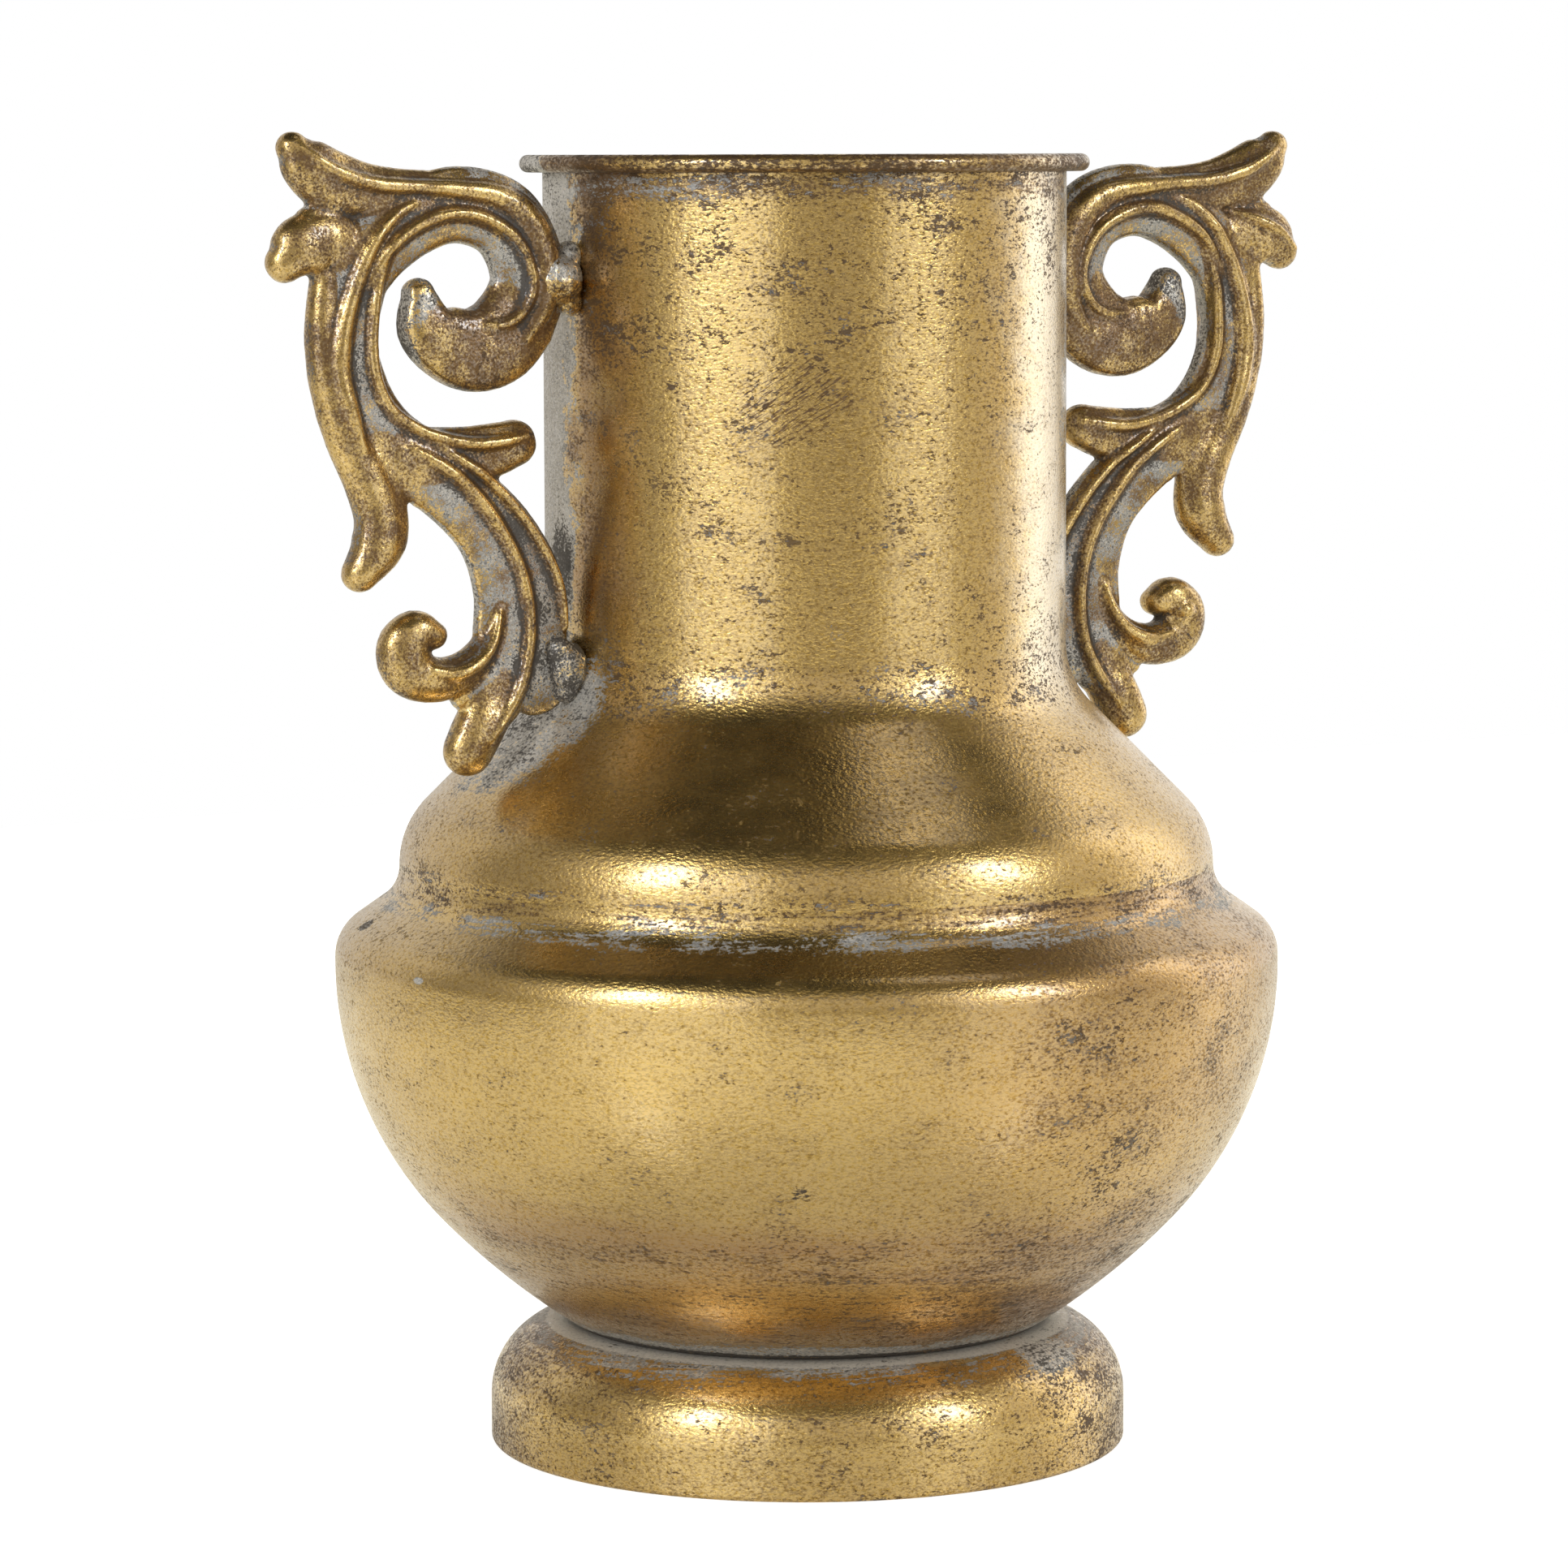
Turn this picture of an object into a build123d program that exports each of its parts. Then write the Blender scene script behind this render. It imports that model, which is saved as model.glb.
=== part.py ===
from build123d import *
import os
from math import asin, atan2, cos, degrees, radians, sin, sqrt

# Urn vase: a thin metal body spun and rolled from sheet, on a hollow ring foot,
# with two cast scroll handles welded to the neck.
# Millimetres, +Z up. The origin is the middle of the face that the foot stands on,
# and the two handles lie in the XZ plane.

os.makedirs("parts", exist_ok=True)

# Sheet and welds
sheet = 1.0  # thickness of every rolled or spun piece
seam_bead = 1.5  # radius of the bead run round the inside of the bowl's seam
bead_gap = 0.1  # how far that bead stands off the curved wall
groove_half = 1.2  # half width of the weld in the neck's seam, ground flush
groove_root = 0.3  # sheet left under that weld

# Foot
foot_height = 33.5  # floor to the seat of the bowl
foot_spread = 22.7  # how far the foot stands out past the bowl's flat base
foot_round = 21.0  # rounded upper edge
foot_bend = 1.5  # turn into the bottom hem
foot_hem = 4.0  # width of the hem that stands on the floor
flange_lap = 12.0  # how far the top flange runs in under the bowl

# Foot tack welds
tack_count = 6
tack_length = 9.0  # along the flange's edge
tack_leg = 2.0

# Bowl
bowl_height = 125.0  # seat on the foot to the seam with the shoulder
bowl_radius = 128.0  # widest outside
bowl_round = 99.6  # main curve of the side
bowl_band = 2.0  # straight band between the lip and the main curve
flank_turn = 44.0  # degrees below level where the side flattens
flank_round = 200.0  # flatter curve down to the base
base_bend = 2.0  # turn from the side into the flat base
lip_round = 14.0  # rounded shelf at the top of the bowl
cove_round = 12.0  # groove under the shoulder

# Shoulder
dome_radius = 110.4  # outside at the seam with the bowl
dome_round = 23.9
flare_slope = 45.0  # degrees above level of the cone's outward normal
flare_fillet = 24.0  # hollow between the cone and the neck

# Neck and rim
neck_radius = 70.4  # outside
neck_length = 131.0  # seam with the shoulder to the top of the rim
rim_reach = 6.2  # how far the rolled rim stands out from the neck
rim_crease = 0.6  # inside radius of the turn from the neck into the rim
hem_gap = 0.2  # between the rolled edge and the neck
wire_radius = 1.25  # wire inside the rolled rim
wire_clearance = 0.1

# Handles
handle_reach = 87.4  # neck wall to the tip of the lower leaf
leaf_rise = 6.0  # upper leaf's tip above the rim
tip_drop = 31.7  # lower tip below the neck's seam
plate_thickness = 9.0  # casting between its ribs
rib_thickness = 12.5  # casting across its ribs
rib_half_width = 2.0
handle_gap = 0.4  # left between the casting and the body for the weld

# Handle welds
upper_weld_rise = 99.0  # above the neck's seam
lower_weld_drop = 3.5  # below the neck's seam
weld_lump = 6.4  # larger lump of a weld
weld_second = 5.2  # smaller lump beside it
weld_spread = 5.0  # between the two lumps
weld_proud = 1.4  # centre of a lump off the neck wall

# Places worked out from the sizes above
seam_z = foot_height + bowl_height
slope_out = Vector(cos(radians(flare_slope)), sin(radians(flare_slope)))
dome_centre = Vector(dome_radius - dome_round, seam_z)
cone_top_line = dome_centre.dot(slope_out) + dome_round + flare_fillet
fillet_r = neck_radius + flare_fillet
neck_base = (cone_top_line - fillet_r * slope_out.X) / slope_out.Y
fillet_centre = Vector(fillet_r, neck_base)
rim_top = neck_base + neck_length
rim_bend = rim_crease + sheet
bore_radius = neck_radius - sheet
groove_top = Vector(neck_radius, neck_base + groove_half)
groove_bottom = Vector(bore_radius + groove_root, neck_base)
groove_turn = degrees(asin(groove_half / flare_fillet))
rim_bead = 2 * (wire_radius + wire_clearance + sheet)
bead_centre = Vector(neck_radius + rim_reach - rim_bead / 2, rim_top - rim_bead / 2)
rim_turn = Vector(bore_radius + rim_bend, rim_top - rim_bend)
handle_base = neck_base - tip_drop
handle_height = tip_drop + neck_length + leaf_rise
rib_share = 100 * rib_half_width / handle_reach

# Arc centres of the bowl, from its seam down to its base
cove_centre = Vector(dome_radius + cove_round, seam_z)
lip_across = cove_centre.X - (bowl_radius - lip_round)
lip_drop = sqrt((cove_round + lip_round) ** 2 - lip_across**2)
lip_centre = Vector(bowl_radius - lip_round, seam_z - lip_drop)
lip_sweep = degrees(atan2(lip_drop, lip_across))
side_centre = Vector(bowl_radius - bowl_round, lip_centre.Y - bowl_band)
flank_away = Vector(cos(radians(flank_turn)), -sin(radians(flank_turn)))
flank_centre = side_centre + flank_away * (bowl_round - flank_round)
bend_rise = flank_centre.Y - foot_height - base_bend
flank_end = degrees(asin(bend_rise / (flank_round - base_bend)))
bend_across = sqrt((flank_round - base_bend) ** 2 - bend_rise**2)
base_radius = flank_centre.X + bend_across
foot_radius = base_radius + foot_spread
flange_radius = base_radius - flange_lap
tack_sweep = degrees(tack_length / flange_radius)
foot_crown = Vector(foot_radius - foot_round, foot_height - foot_round)


# Foot: spun ring, hollow underneath, with a hem on the floor and a flange under the bowl
with BuildPart() as foot:
    with BuildSketch(Plane.XZ):
        with BuildLine():
            Line((flange_radius, foot_height), (foot_crown.X, foot_height))
            CenterArc(foot_crown, foot_round, 90, -90)
            Line((foot_radius, foot_crown.Y), (foot_radius, foot_bend))
            CenterArc((foot_radius - foot_bend, foot_bend), foot_bend, 0, -90)
            Line((foot_radius - foot_bend, 0), (foot_radius - foot_hem, 0))
            offset(amount=sheet, side=Side.RIGHT)
        make_face()
    revolve(axis=Axis.Z)
foot.part.label = "foot"

# Bowl: spun from one disc, flat base to the groove at its lip
with BuildPart() as bowl:
    with BuildSketch(Plane.XZ):
        with BuildLine():
            CenterArc(cove_centre, cove_round, 180, lip_sweep)
            CenterArc(lip_centre, lip_round, lip_sweep, -lip_sweep)
            Line((bowl_radius, lip_centre.Y), (bowl_radius, side_centre.Y))
            CenterArc(side_centre, bowl_round, 0, -flank_turn)
            CenterArc(flank_centre, flank_round, -flank_turn, flank_turn - flank_end)
            bend = CenterArc(
                (base_radius, foot_height + base_bend), base_bend, -flank_end, flank_end - 90
            )
            Line(bend @ 1, (0, foot_height))
            offset(amount=sheet, side=Side.RIGHT)
        make_face()
    revolve(axis=Axis.Z)
bowl.part.label = "bowl"

# Weld in the groove of the seam between neck and shoulder, ground flush outside
with BuildPart() as neck_seam_weld:
    with BuildSketch(Plane.XZ):
        with BuildLine():
            flush = CenterArc(fillet_centre, flare_fillet, 180, groove_turn)
            Polyline(flush @ 1, groove_bottom, groove_top, flush @ 0)
        make_face()
    revolve(axis=Axis.Z)
neck_seam_weld.part.label = "neck_seam_weld"

# Shoulder: spun cone between the bowl's seam and the neck's seam
with BuildPart() as shoulder:
    with BuildSketch(Plane.XZ):
        with BuildLine():
            hollow = CenterArc(fillet_centre, flare_fillet, 180 + groove_turn, flare_slope - groove_turn)
            dome = CenterArc(dome_centre, dome_round, flare_slope, -flare_slope)
            dome_inside = CenterArc(dome_centre, dome_round - sheet, 0, flare_slope)
            fillet_inside = flare_fillet + sheet
            hollow_inside = CenterArc(fillet_centre, fillet_inside, 180 + flare_slope, -flare_slope)
            Line(hollow @ 1, dome @ 0)
            Line(dome @ 1, dome_inside @ 0)
            Line(dome_inside @ 1, hollow_inside @ 0)
            Polyline(hollow_inside @ 1, groove_bottom, hollow @ 0)
        make_face()
    revolve(axis=Axis.Z)
shoulder.part.label = "shoulder"

# Neck: rolled tube whose top edge is turned out and rolled round the rim wire
with BuildPart() as neck:
    with BuildSketch(Plane.XZ):
        with BuildLine():
            Line((bore_radius, neck_base), (bore_radius, rim_top - rim_bend))
            CenterArc(rim_turn, rim_bend, 180, -90)
            Line((rim_turn.X, rim_top), (bead_centre.X, rim_top))
            CenterArc(bead_centre, rim_bead / 2, 90, -180)
            Polyline(
                (bead_centre.X, rim_top - rim_bead),
                (neck_radius + hem_gap, rim_top - rim_bead),
                (neck_radius + hem_gap, rim_top - rim_bead + sheet),
                (bead_centre.X, rim_top - rim_bead + sheet),
            )
            CenterArc(bead_centre, rim_bead / 2 - sheet, -90, 180)
            Line((bead_centre.X, rim_top - sheet), (rim_turn.X, rim_top - sheet))
            CenterArc(rim_turn, rim_bend - sheet, 90, 90)
            Polyline((neck_radius, rim_turn.Y), groove_top, groove_bottom, (bore_radius, neck_base))
        make_face()
    revolve(axis=Axis.Z)
neck.part.label = "neck"

# Wire that stiffens the rolled rim
with BuildPart() as rim_wire:
    with BuildSketch(Plane.XZ):
        with Locations(bead_centre):
            Circle(wire_radius)
    revolve(axis=Axis.Z)
rim_wire.part.label = "rim_wire"

# Handle outline, as limbs drawn on a pattern board.
# A limb's point is (out, up, half width): out and the half width are percentages of the
# handle's reach, and up is a percentage of its height.
scroll = [
    (52, 75.2, 4.8),
    (49, 70.2, 9.2),
    (34.5, 66.5, 13.2),
    (20, 70.5, 13),
    (15, 78, 12.2),
    (23, 86.2, 12.2),
    (40.5, 88.8, 11.4),
    (59.5, 84.8, 11.7),
    (73.5, 77.6, 11.6),
    (77, 69.2, 11.1),
    (74, 61, 11.7),
    (65, 53.2, 12),
    (46, 46.8, 10.9),
    (28.5, 39, 12.1),
    (19.5, 29.5, 14.6),
    (20, 20.5, 14.6),
    (28, 12, 9.4),
    (36.5, 4, 7.7),
]
upper_leaf = [(48.5, 89.2, 9.7), (65.5, 90.8, 8), (79.5, 92.2, 9.4), (87.5, 95.2, 7.4), (91.5, 97.5, 4.6)]
lower_leaf = [(74, 81.2, 10.3), (81.5, 83.2, 10.9), (90, 82.2, 9.4), (94.5, 80.2, 5.7)]
inner_leaf = [(57.5, 50.2, 9.2), (39, 50, 8.9), (28, 50.8, 8.2), (20.5, 51.8, 7.1)]
drop_leaf = [(66, 50.2, 9.7), (64, 42.5, 7.9), (65, 37.2, 8.4), (71.5, 32.2, 5.6)]
curl = [(23, 23.5, 9.2), (35, 16.8, 10.3), (46, 15, 8.4), (55, 15.8, 9.1)]
curl_eye = [(53.5, 20, 11.9), (55, 20, 11.9)]
weld_pad = [(15, 22.5, 12.6), (13, 14.5, 11.4)]
limbs = [scroll, upper_leaf, lower_leaf, inner_leaf, drop_leaf, curl, curl_eye, weld_pad]

# Raised ribs that run along the limbs, on the same board
crest_rib = [
    (89.5, 96.8),
    (78, 93.5),
    (62, 92.2),
    (41.5, 91.8),
    (25.5, 90),
    (14, 85.5),
    (10, 78.8),
    (13, 71.5),
    (22, 66),
    (34.5, 63.2),
    (45, 65.8),
    (50, 71),
]
eye_rib = [
    (77, 61.5),
    (79.5, 69.2),
    (75.5, 77),
    (65.5, 82.8),
    (54, 86),
    (40.5, 87.2),
    (26.5, 85.2),
    (18.5, 80),
    (18, 74.5),
    (23, 71),
    (31, 69.8),
]
inner_rib = [(68.5, 77), (69.5, 69.2), (66, 61.5), (56.5, 56.2), (44, 53), (30, 52), (21, 52.2)]
drop_rib = [(77.5, 61.5), (75.5, 55.5), (69, 48.5), (66, 41.2), (69, 34.8)]
sweep_rib = [
    (62, 53.8),
    (46, 48.8),
    (32.5, 43.2),
    (22.5, 35.5),
    (18, 27.2),
    (18.5, 18.8),
    (25.5, 10.8),
    (36, 4.5),
]
curl_rib = [(28, 26.5), (31, 20), (39, 17), (48.5, 16.5), (56.5, 18.8)]
edge_rib = [(26.5, 43.8), (16.5, 38.5), (9, 32.5), (6, 26.5)]
leaf_rib = [(79.5, 84.5), (88.5, 83.5), (95.5, 80.5)]
ribs = [crest_rib, eye_rib, inner_rib, drop_rib, sweep_rib, curl_rib, edge_rib, leaf_rib]


def on_board(out, up):
    """Place of a board point in the handle's plane, on the -X side of the neck."""
    return Vector(-neck_radius - handle_reach * out / 100, handle_base + handle_height * up / 100)


def limb_outline(points):
    """Edges of a limb with round ends, which keep its half width off its spine."""
    spine = [on_board(out, up) for out, up, _ in points]
    last = len(spine) - 1
    ahead = [(spine[min(i + 1, last)] - spine[max(i - 1, 0)]).normalized() for i in range(last + 1)]
    across = [Vector(-along.Y, along.X) for along in ahead]
    halves = [handle_reach * half / 100 for _, _, half in points]
    left = [spot + side * half for spot, side, half in zip(spine, across, halves)]
    right = [spot - side * half for spot, side, half in zip(spine, across, halves)]
    with BuildLine() as outline:
        Spline(*left) if last > 1 else Line(*left)
        Spline(*right) if last > 1 else Line(*right)
        ThreePointArc(left[-1], spine[-1] + ahead[-1] * halves[-1], right[-1])
        ThreePointArc(left[0], spine[0] - ahead[0] * halves[0], right[0])
    return outline.edges()


def body_core(grow):
    """Solid that fills the neck and shoulder, with its outside moved out by grow."""
    with BuildPart() as core:
        with BuildSketch(Plane.XZ):
            with BuildLine():
                hollow = CenterArc(fillet_centre, flare_fillet - grow, 180, flare_slope)
                dome = CenterArc(dome_centre, dome_round + grow, flare_slope, -flare_slope)
                Line(hollow @ 1, dome @ 0)
                Polyline(dome @ 1, (0, seam_z), (0, rim_top), (neck_radius + grow, rim_top), hollow @ 0)
            make_face()
        revolve(axis=Axis.Z)
    return core.part


weld_root = body_core(0)
handle_room = body_core(handle_gap)

# Left handle: one casting, ribbed alike on both faces, trimmed to stand off the neck
with BuildPart() as left_handle:
    with BuildSketch(Plane.XZ):
        for limb in limbs:
            make_face(limb_outline(limb))
    extrude(amount=plate_thickness / 2, both=True)
    with BuildSketch(Plane.XZ):
        for rib in ribs:
            make_face(limb_outline([(out, up, rib_share) for out, up in rib]))
    extrude(amount=rib_thickness / 2, both=True)
    add(handle_room, mode=Mode.SUBTRACT)
left_handle.part.label = "left_handle"

# Right handle: the same casting turned half round the vase
with BuildPart() as right_handle:
    add(left_handle.part, rotation=(0, 0, 180))
right_handle.part.label = "right_handle"


def weld_solid(height, second_height, handle):
    """Two run-together lumps that fill the gap between the neck's -X side and a handle."""
    with BuildPart() as weld:
        with Locations((-neck_radius - weld_proud, 0, height)):
            Sphere(weld_lump)
        with Locations((-neck_radius - weld_proud, 0, second_height)):
            Sphere(weld_second)
        add(weld_root, mode=Mode.SUBTRACT)
        add(handle, mode=Mode.SUBTRACT)
    return weld.part


upper_weld_z = neck_base + upper_weld_rise
lower_weld_z = neck_base - lower_weld_drop
upper_weld = weld_solid(upper_weld_z - weld_spread / 2, upper_weld_z + weld_spread / 2, left_handle.part)
lower_weld = weld_solid(lower_weld_z, lower_weld_z + weld_spread, left_handle.part)

# Welds that hold the left handle to the neck
with BuildPart() as left_upper_weld:
    add(upper_weld)
left_upper_weld.part.label = "left_upper_weld"

with BuildPart() as left_lower_weld:
    add(lower_weld)
left_lower_weld.part.label = "left_lower_weld"

# Welds that hold the right handle
with BuildPart() as right_upper_weld:
    add(upper_weld, rotation=(0, 0, 180))
right_upper_weld.part.label = "right_upper_weld"

with BuildPart() as right_lower_weld:
    add(lower_weld, rotation=(0, 0, 180))
right_lower_weld.part.label = "right_lower_weld"

# Bead round the inside of the seam between shoulder and bowl
with BuildPart() as shoulder_seam_weld:
    with BuildSketch(Plane.XZ):
        with BuildLine():
            bead = CenterArc((dome_radius - sheet - bead_gap, seam_z), seam_bead, 90, 180)
            Line(bead @ 1, bead @ 0)
        make_face()
    revolve(axis=Axis.Z)
shoulder_seam_weld.part.label = "shoulder_seam_weld"

# Tack welds under the bowl, along the edge of the foot's flange
with BuildPart() as foot_tack_welds:
    with BuildSketch(Plane.XZ):
        with BuildLine():
            Polyline(
                (flange_radius, foot_height),
                (flange_radius - tack_leg, foot_height),
                (flange_radius, foot_height - sheet),
                close=True,
            )
        make_face()
    tack = revolve(axis=Axis.Z, revolution_arc=tack_sweep, mode=Mode.PRIVATE)
    with PolarLocations(0, tack_count):
        add(tack)
foot_tack_welds.part.label = "foot_tack_welds"

pieces = [
    foot,
    foot_tack_welds,
    bowl,
    shoulder_seam_weld,
    shoulder,
    neck_seam_weld,
    neck,
    rim_wire,
    left_handle,
    left_upper_weld,
    left_lower_weld,
    right_handle,
    right_upper_weld,
    right_lower_weld,
]
for piece in pieces:
    export_step(piece.part, f"parts/{piece.part.label}.step")
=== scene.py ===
import bmesh
import bpy
import numpy as np
from math import asin, cos, degrees, pi, radians, sin, sqrt
from mathutils import Euler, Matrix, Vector, noise
from mathutils.bvhtree import BVHTree
from mathutils.kdtree import KDTree


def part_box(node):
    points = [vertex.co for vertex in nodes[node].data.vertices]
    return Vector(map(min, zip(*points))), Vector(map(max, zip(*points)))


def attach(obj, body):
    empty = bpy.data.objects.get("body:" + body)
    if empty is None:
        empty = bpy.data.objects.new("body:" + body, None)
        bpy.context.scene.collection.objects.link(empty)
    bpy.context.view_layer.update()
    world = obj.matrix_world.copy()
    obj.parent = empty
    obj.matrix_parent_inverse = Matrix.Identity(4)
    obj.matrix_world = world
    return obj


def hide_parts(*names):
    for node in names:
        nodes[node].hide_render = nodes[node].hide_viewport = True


# Urn vase: a gilded sheet-metal body on a ring foot, with two cast scroll handles.
# The frame is in metres, +Z up, with the foot standing on z = 0 and the handles in the XZ plane.
# Drawing sizes below are in millimetres, and meshes are scaled by MM.

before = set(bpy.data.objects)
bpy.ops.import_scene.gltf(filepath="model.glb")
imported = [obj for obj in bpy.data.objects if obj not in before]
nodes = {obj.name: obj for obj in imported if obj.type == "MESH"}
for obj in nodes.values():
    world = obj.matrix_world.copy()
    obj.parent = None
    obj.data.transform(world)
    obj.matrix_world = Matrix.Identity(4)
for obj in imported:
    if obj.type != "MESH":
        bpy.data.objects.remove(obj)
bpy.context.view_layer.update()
MM = 0.001

# The vase is looked at from this turn about its axis
front_turn = -29.0

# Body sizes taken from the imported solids
foot_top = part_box("foot")[1].z / MM
foot_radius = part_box("foot")[1].x / MM
bowl_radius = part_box("bowl")[1].x / MM
seam_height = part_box("bowl")[1].z / MM
dome_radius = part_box("shoulder")[1].x / MM
neck_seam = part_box("neck")[0].z / MM
rim_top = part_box("neck")[1].z / MM
rim_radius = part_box("neck")[1].x / MM

# Body sizes that the boxes don't give
sheet = 1.0
foot_round = 21.0
foot_bend = 1.5
foot_hem = 4.0
flange_radius = 51.9
bowl_round = 99.6
bowl_band = 2.0
flank_turn = 44.0
flank_round = 200.0
base_bend = 2.0
edge_round = 11.5
cove_round = 12.0
shelf_turn = 55.0
dome_round = 23.9
flare_slope = 45.0
flare_fillet = 24.0
neck_radius = 70.4
rim_bead = 4.7
rim_bend = 1.6
hem_gap = 0.2
seam_half = 1.2
turned_segments = 384
fine_step = 0.2
seam_step = 0.4
shoulder_step = 0.6
shelf_step = 1.0
side_step = 2.0
base_step = 6.0


def arc(centre, radius, start, end, step=0.9):
    """Points along an arc in the profile plane, angles in degrees."""
    count = max(3, int(abs(radians(end - start)) * radius / step) + 1)
    turns = np.radians(np.linspace(start, end, count))
    return [(centre[0] + radius * cos(t), centre[1] + radius * sin(t)) for t in turns]


def straight(start, end, step=2.0):
    """Points along a straight of the profile."""
    count = max(2, int(sqrt((end[0] - start[0]) ** 2 + (end[1] - start[1]) ** 2) / step) + 1)
    ways = np.linspace(0, 1, count)
    return [(start[0] + (end[0] - start[0]) * w, start[1] + (end[1] - start[1]) * w) for w in ways]


def in_metres(points):
    """Points given in millimetres, in metres."""
    return [(x * MM, y * MM, z * MM) for x, y, z in points]


def add_object(name, data):
    """Object of the scene that holds a mesh, a lamp or a camera."""
    thing = bpy.data.objects.new(name, data)
    bpy.context.scene.collection.objects.link(thing)
    return thing


def new_piece(name, points, faces, inside_faces=(), sharp=32):
    """Mesh object from points in millimetres, shaded smooth with its sharp edges kept.

    The inside faces take the second material."""
    mesh = bpy.data.meshes.new(name)
    mesh.from_pydata(in_metres(points), [], faces)
    for i in inside_faces:
        mesh.polygons[i].material_index = 1
    work = bmesh.new()
    work.from_mesh(mesh)
    bmesh.ops.remove_doubles(work, verts=work.verts, dist=1e-7)
    bmesh.ops.recalc_face_normals(work, faces=work.faces)
    work.to_mesh(mesh)
    work.free()
    mesh.shade_smooth()
    mesh.set_sharp_from_angle(angle=radians(sharp))
    return add_object(name, mesh)


def turned_piece(name, outside, inside):
    """Spun or rolled piece: its outside and inside lines, closed and turned about the axis."""
    line = []
    inner = []
    for row, is_inside in ((outside, False), (inside, True)):
        for point in row:
            if not line or abs(point[0] - line[-1][0]) + abs(point[1] - line[-1][1]) > 1e-4:
                line.append(point)
                inner.append(is_inside)
    rows = len(line)
    turns = np.linspace(0, 2 * pi, turned_segments, endpoint=False)
    points = [(r * cos(t), r * sin(t), z) for t in turns for r, z in line]
    faces = []
    inside_faces = []
    for i in range(turned_segments):
        j = (i + 1) % turned_segments
        for k in range(rows):
            m = (k + 1) % rows
            if inner[k] and inner[m]:
                inside_faces.append(len(faces))
            faces.append((i * rows + k, j * rows + k, j * rows + m, i * rows + m))
    return new_piece(name, points, faces, inside_faces)


# Profile points worked out from the sizes
slope_rise = sin(radians(flare_slope))
dome_centre = (dome_radius - dome_round, seam_height)
fillet_centre = (neck_radius + flare_fillet, neck_seam)
cove_centre = (dome_radius + cove_round, seam_height)
shelf_x, shelf_z = cos(radians(shelf_turn)), sin(radians(shelf_turn))
shelf_across = bowl_radius - dome_radius - (edge_round + cove_round) * (1 - shelf_x)
shelf_drop = (edge_round + cove_round) * shelf_z + shelf_across * shelf_x / shelf_z
edge_centre = (bowl_radius - edge_round, seam_height - shelf_drop)
side_centre = (bowl_radius - bowl_round, edge_centre[1] - bowl_band)
flank_x = side_centre[0] + cos(radians(flank_turn)) * (bowl_round - flank_round)
flank_z = side_centre[1] - sin(radians(flank_turn)) * (bowl_round - flank_round)
bend_rise = flank_z - foot_top - base_bend
flank_end = degrees(asin(bend_rise / (flank_round - base_bend)))
base_radius = flank_x + sqrt((flank_round - base_bend) ** 2 - bend_rise**2)
foot_crown = (foot_radius - foot_round, foot_top - foot_round)
seam_turn = degrees(asin(seam_half / flare_fillet))
bead_centre = (rim_radius - rim_bead / 2, rim_top - rim_bead / 2)
bore_radius = neck_radius - sheet
rim_turn = (bore_radius + rim_bend, rim_top - rim_bend)


def foot_line(depth):
    """Line of the foot from its flange to its hem, set in from the outside by depth."""
    return (
        straight((flange_radius, foot_top - depth), (foot_crown[0], foot_top - depth))
        + arc(foot_crown, foot_round - depth, 90, 0)
        + straight((foot_radius - depth, foot_crown[1]), (foot_radius - depth, foot_bend))
        + arc((foot_radius - foot_bend, foot_bend), foot_bend - depth, 0, -90, fine_step)
        + straight((foot_radius - foot_bend, depth), (foot_radius - foot_hem, depth))
    )


def bowl_line(depth):
    """Line of the bowl from the groove over its shelf down to the middle of its base."""
    groove = arc(cove_centre, cove_round + depth, 180, 180 + shelf_turn)
    edge = arc(edge_centre, edge_round - depth, shelf_turn, 0)
    return (
        groove
        + straight(groove[-1], edge[0], shelf_step)
        + edge
        + straight((bowl_radius - depth, edge_centre[1]), (bowl_radius - depth, side_centre[1]), shelf_step)
        + arc(side_centre, bowl_round - depth, 0, -flank_turn, side_step)
        + arc((flank_x, flank_z), flank_round - depth, -flank_turn, -flank_end, side_step)
        + arc((base_radius, foot_top + base_bend), base_bend - depth, -flank_end, -90, fine_step)
        + straight((base_radius, foot_top + depth), (0, foot_top + depth), base_step)
    )


def shoulder_line(depth, seam):
    """Line of the shoulder from the neck's seam down to the bowl's seam."""
    hollow = arc(fillet_centre, flare_fillet + depth, 180 + seam, 180 + flare_slope, shoulder_step)
    return hollow + arc(dome_centre, dome_round - depth, flare_slope, 0, shoulder_step)


neck_outside = (
    arc(bead_centre, rim_bead / 2, 90, -90, fine_step)
    + straight((bead_centre[0], rim_top - rim_bead), (neck_radius + hem_gap, rim_top - rim_bead))
    + straight((neck_radius, rim_top - rim_bead + sheet), (neck_radius, neck_seam + seam_half))
)
neck_inside = (
    straight((bore_radius, neck_seam + seam_half), (bore_radius, rim_turn[1]))
    + arc(rim_turn, rim_bend, 180, 90, fine_step)
    + straight((rim_turn[0], rim_top), (bead_centre[0], rim_top))
)
seam_outside = straight((neck_radius, neck_seam + seam_half), (neck_radius, neck_seam), seam_step)
seam_outside += arc(fillet_centre, flare_fillet, 180, 180 + seam_turn, seam_step)
seam_inside = straight((bore_radius, neck_seam), (bore_radius, neck_seam + seam_half), seam_step)

neck = turned_piece("gilt_neck", neck_outside, neck_inside)
neck_weld = turned_piece("gilt_neck_seam", seam_outside, seam_inside)
shoulder = turned_piece("gilt_shoulder", shoulder_line(0, seam_turn), shoulder_line(sheet, 0)[::-1])
bowl = turned_piece("gilt_bowl", bowl_line(0), bowl_line(sheet)[::-1])
foot = turned_piece("gilt_foot", foot_line(0), foot_line(sheet)[::-1])

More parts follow.
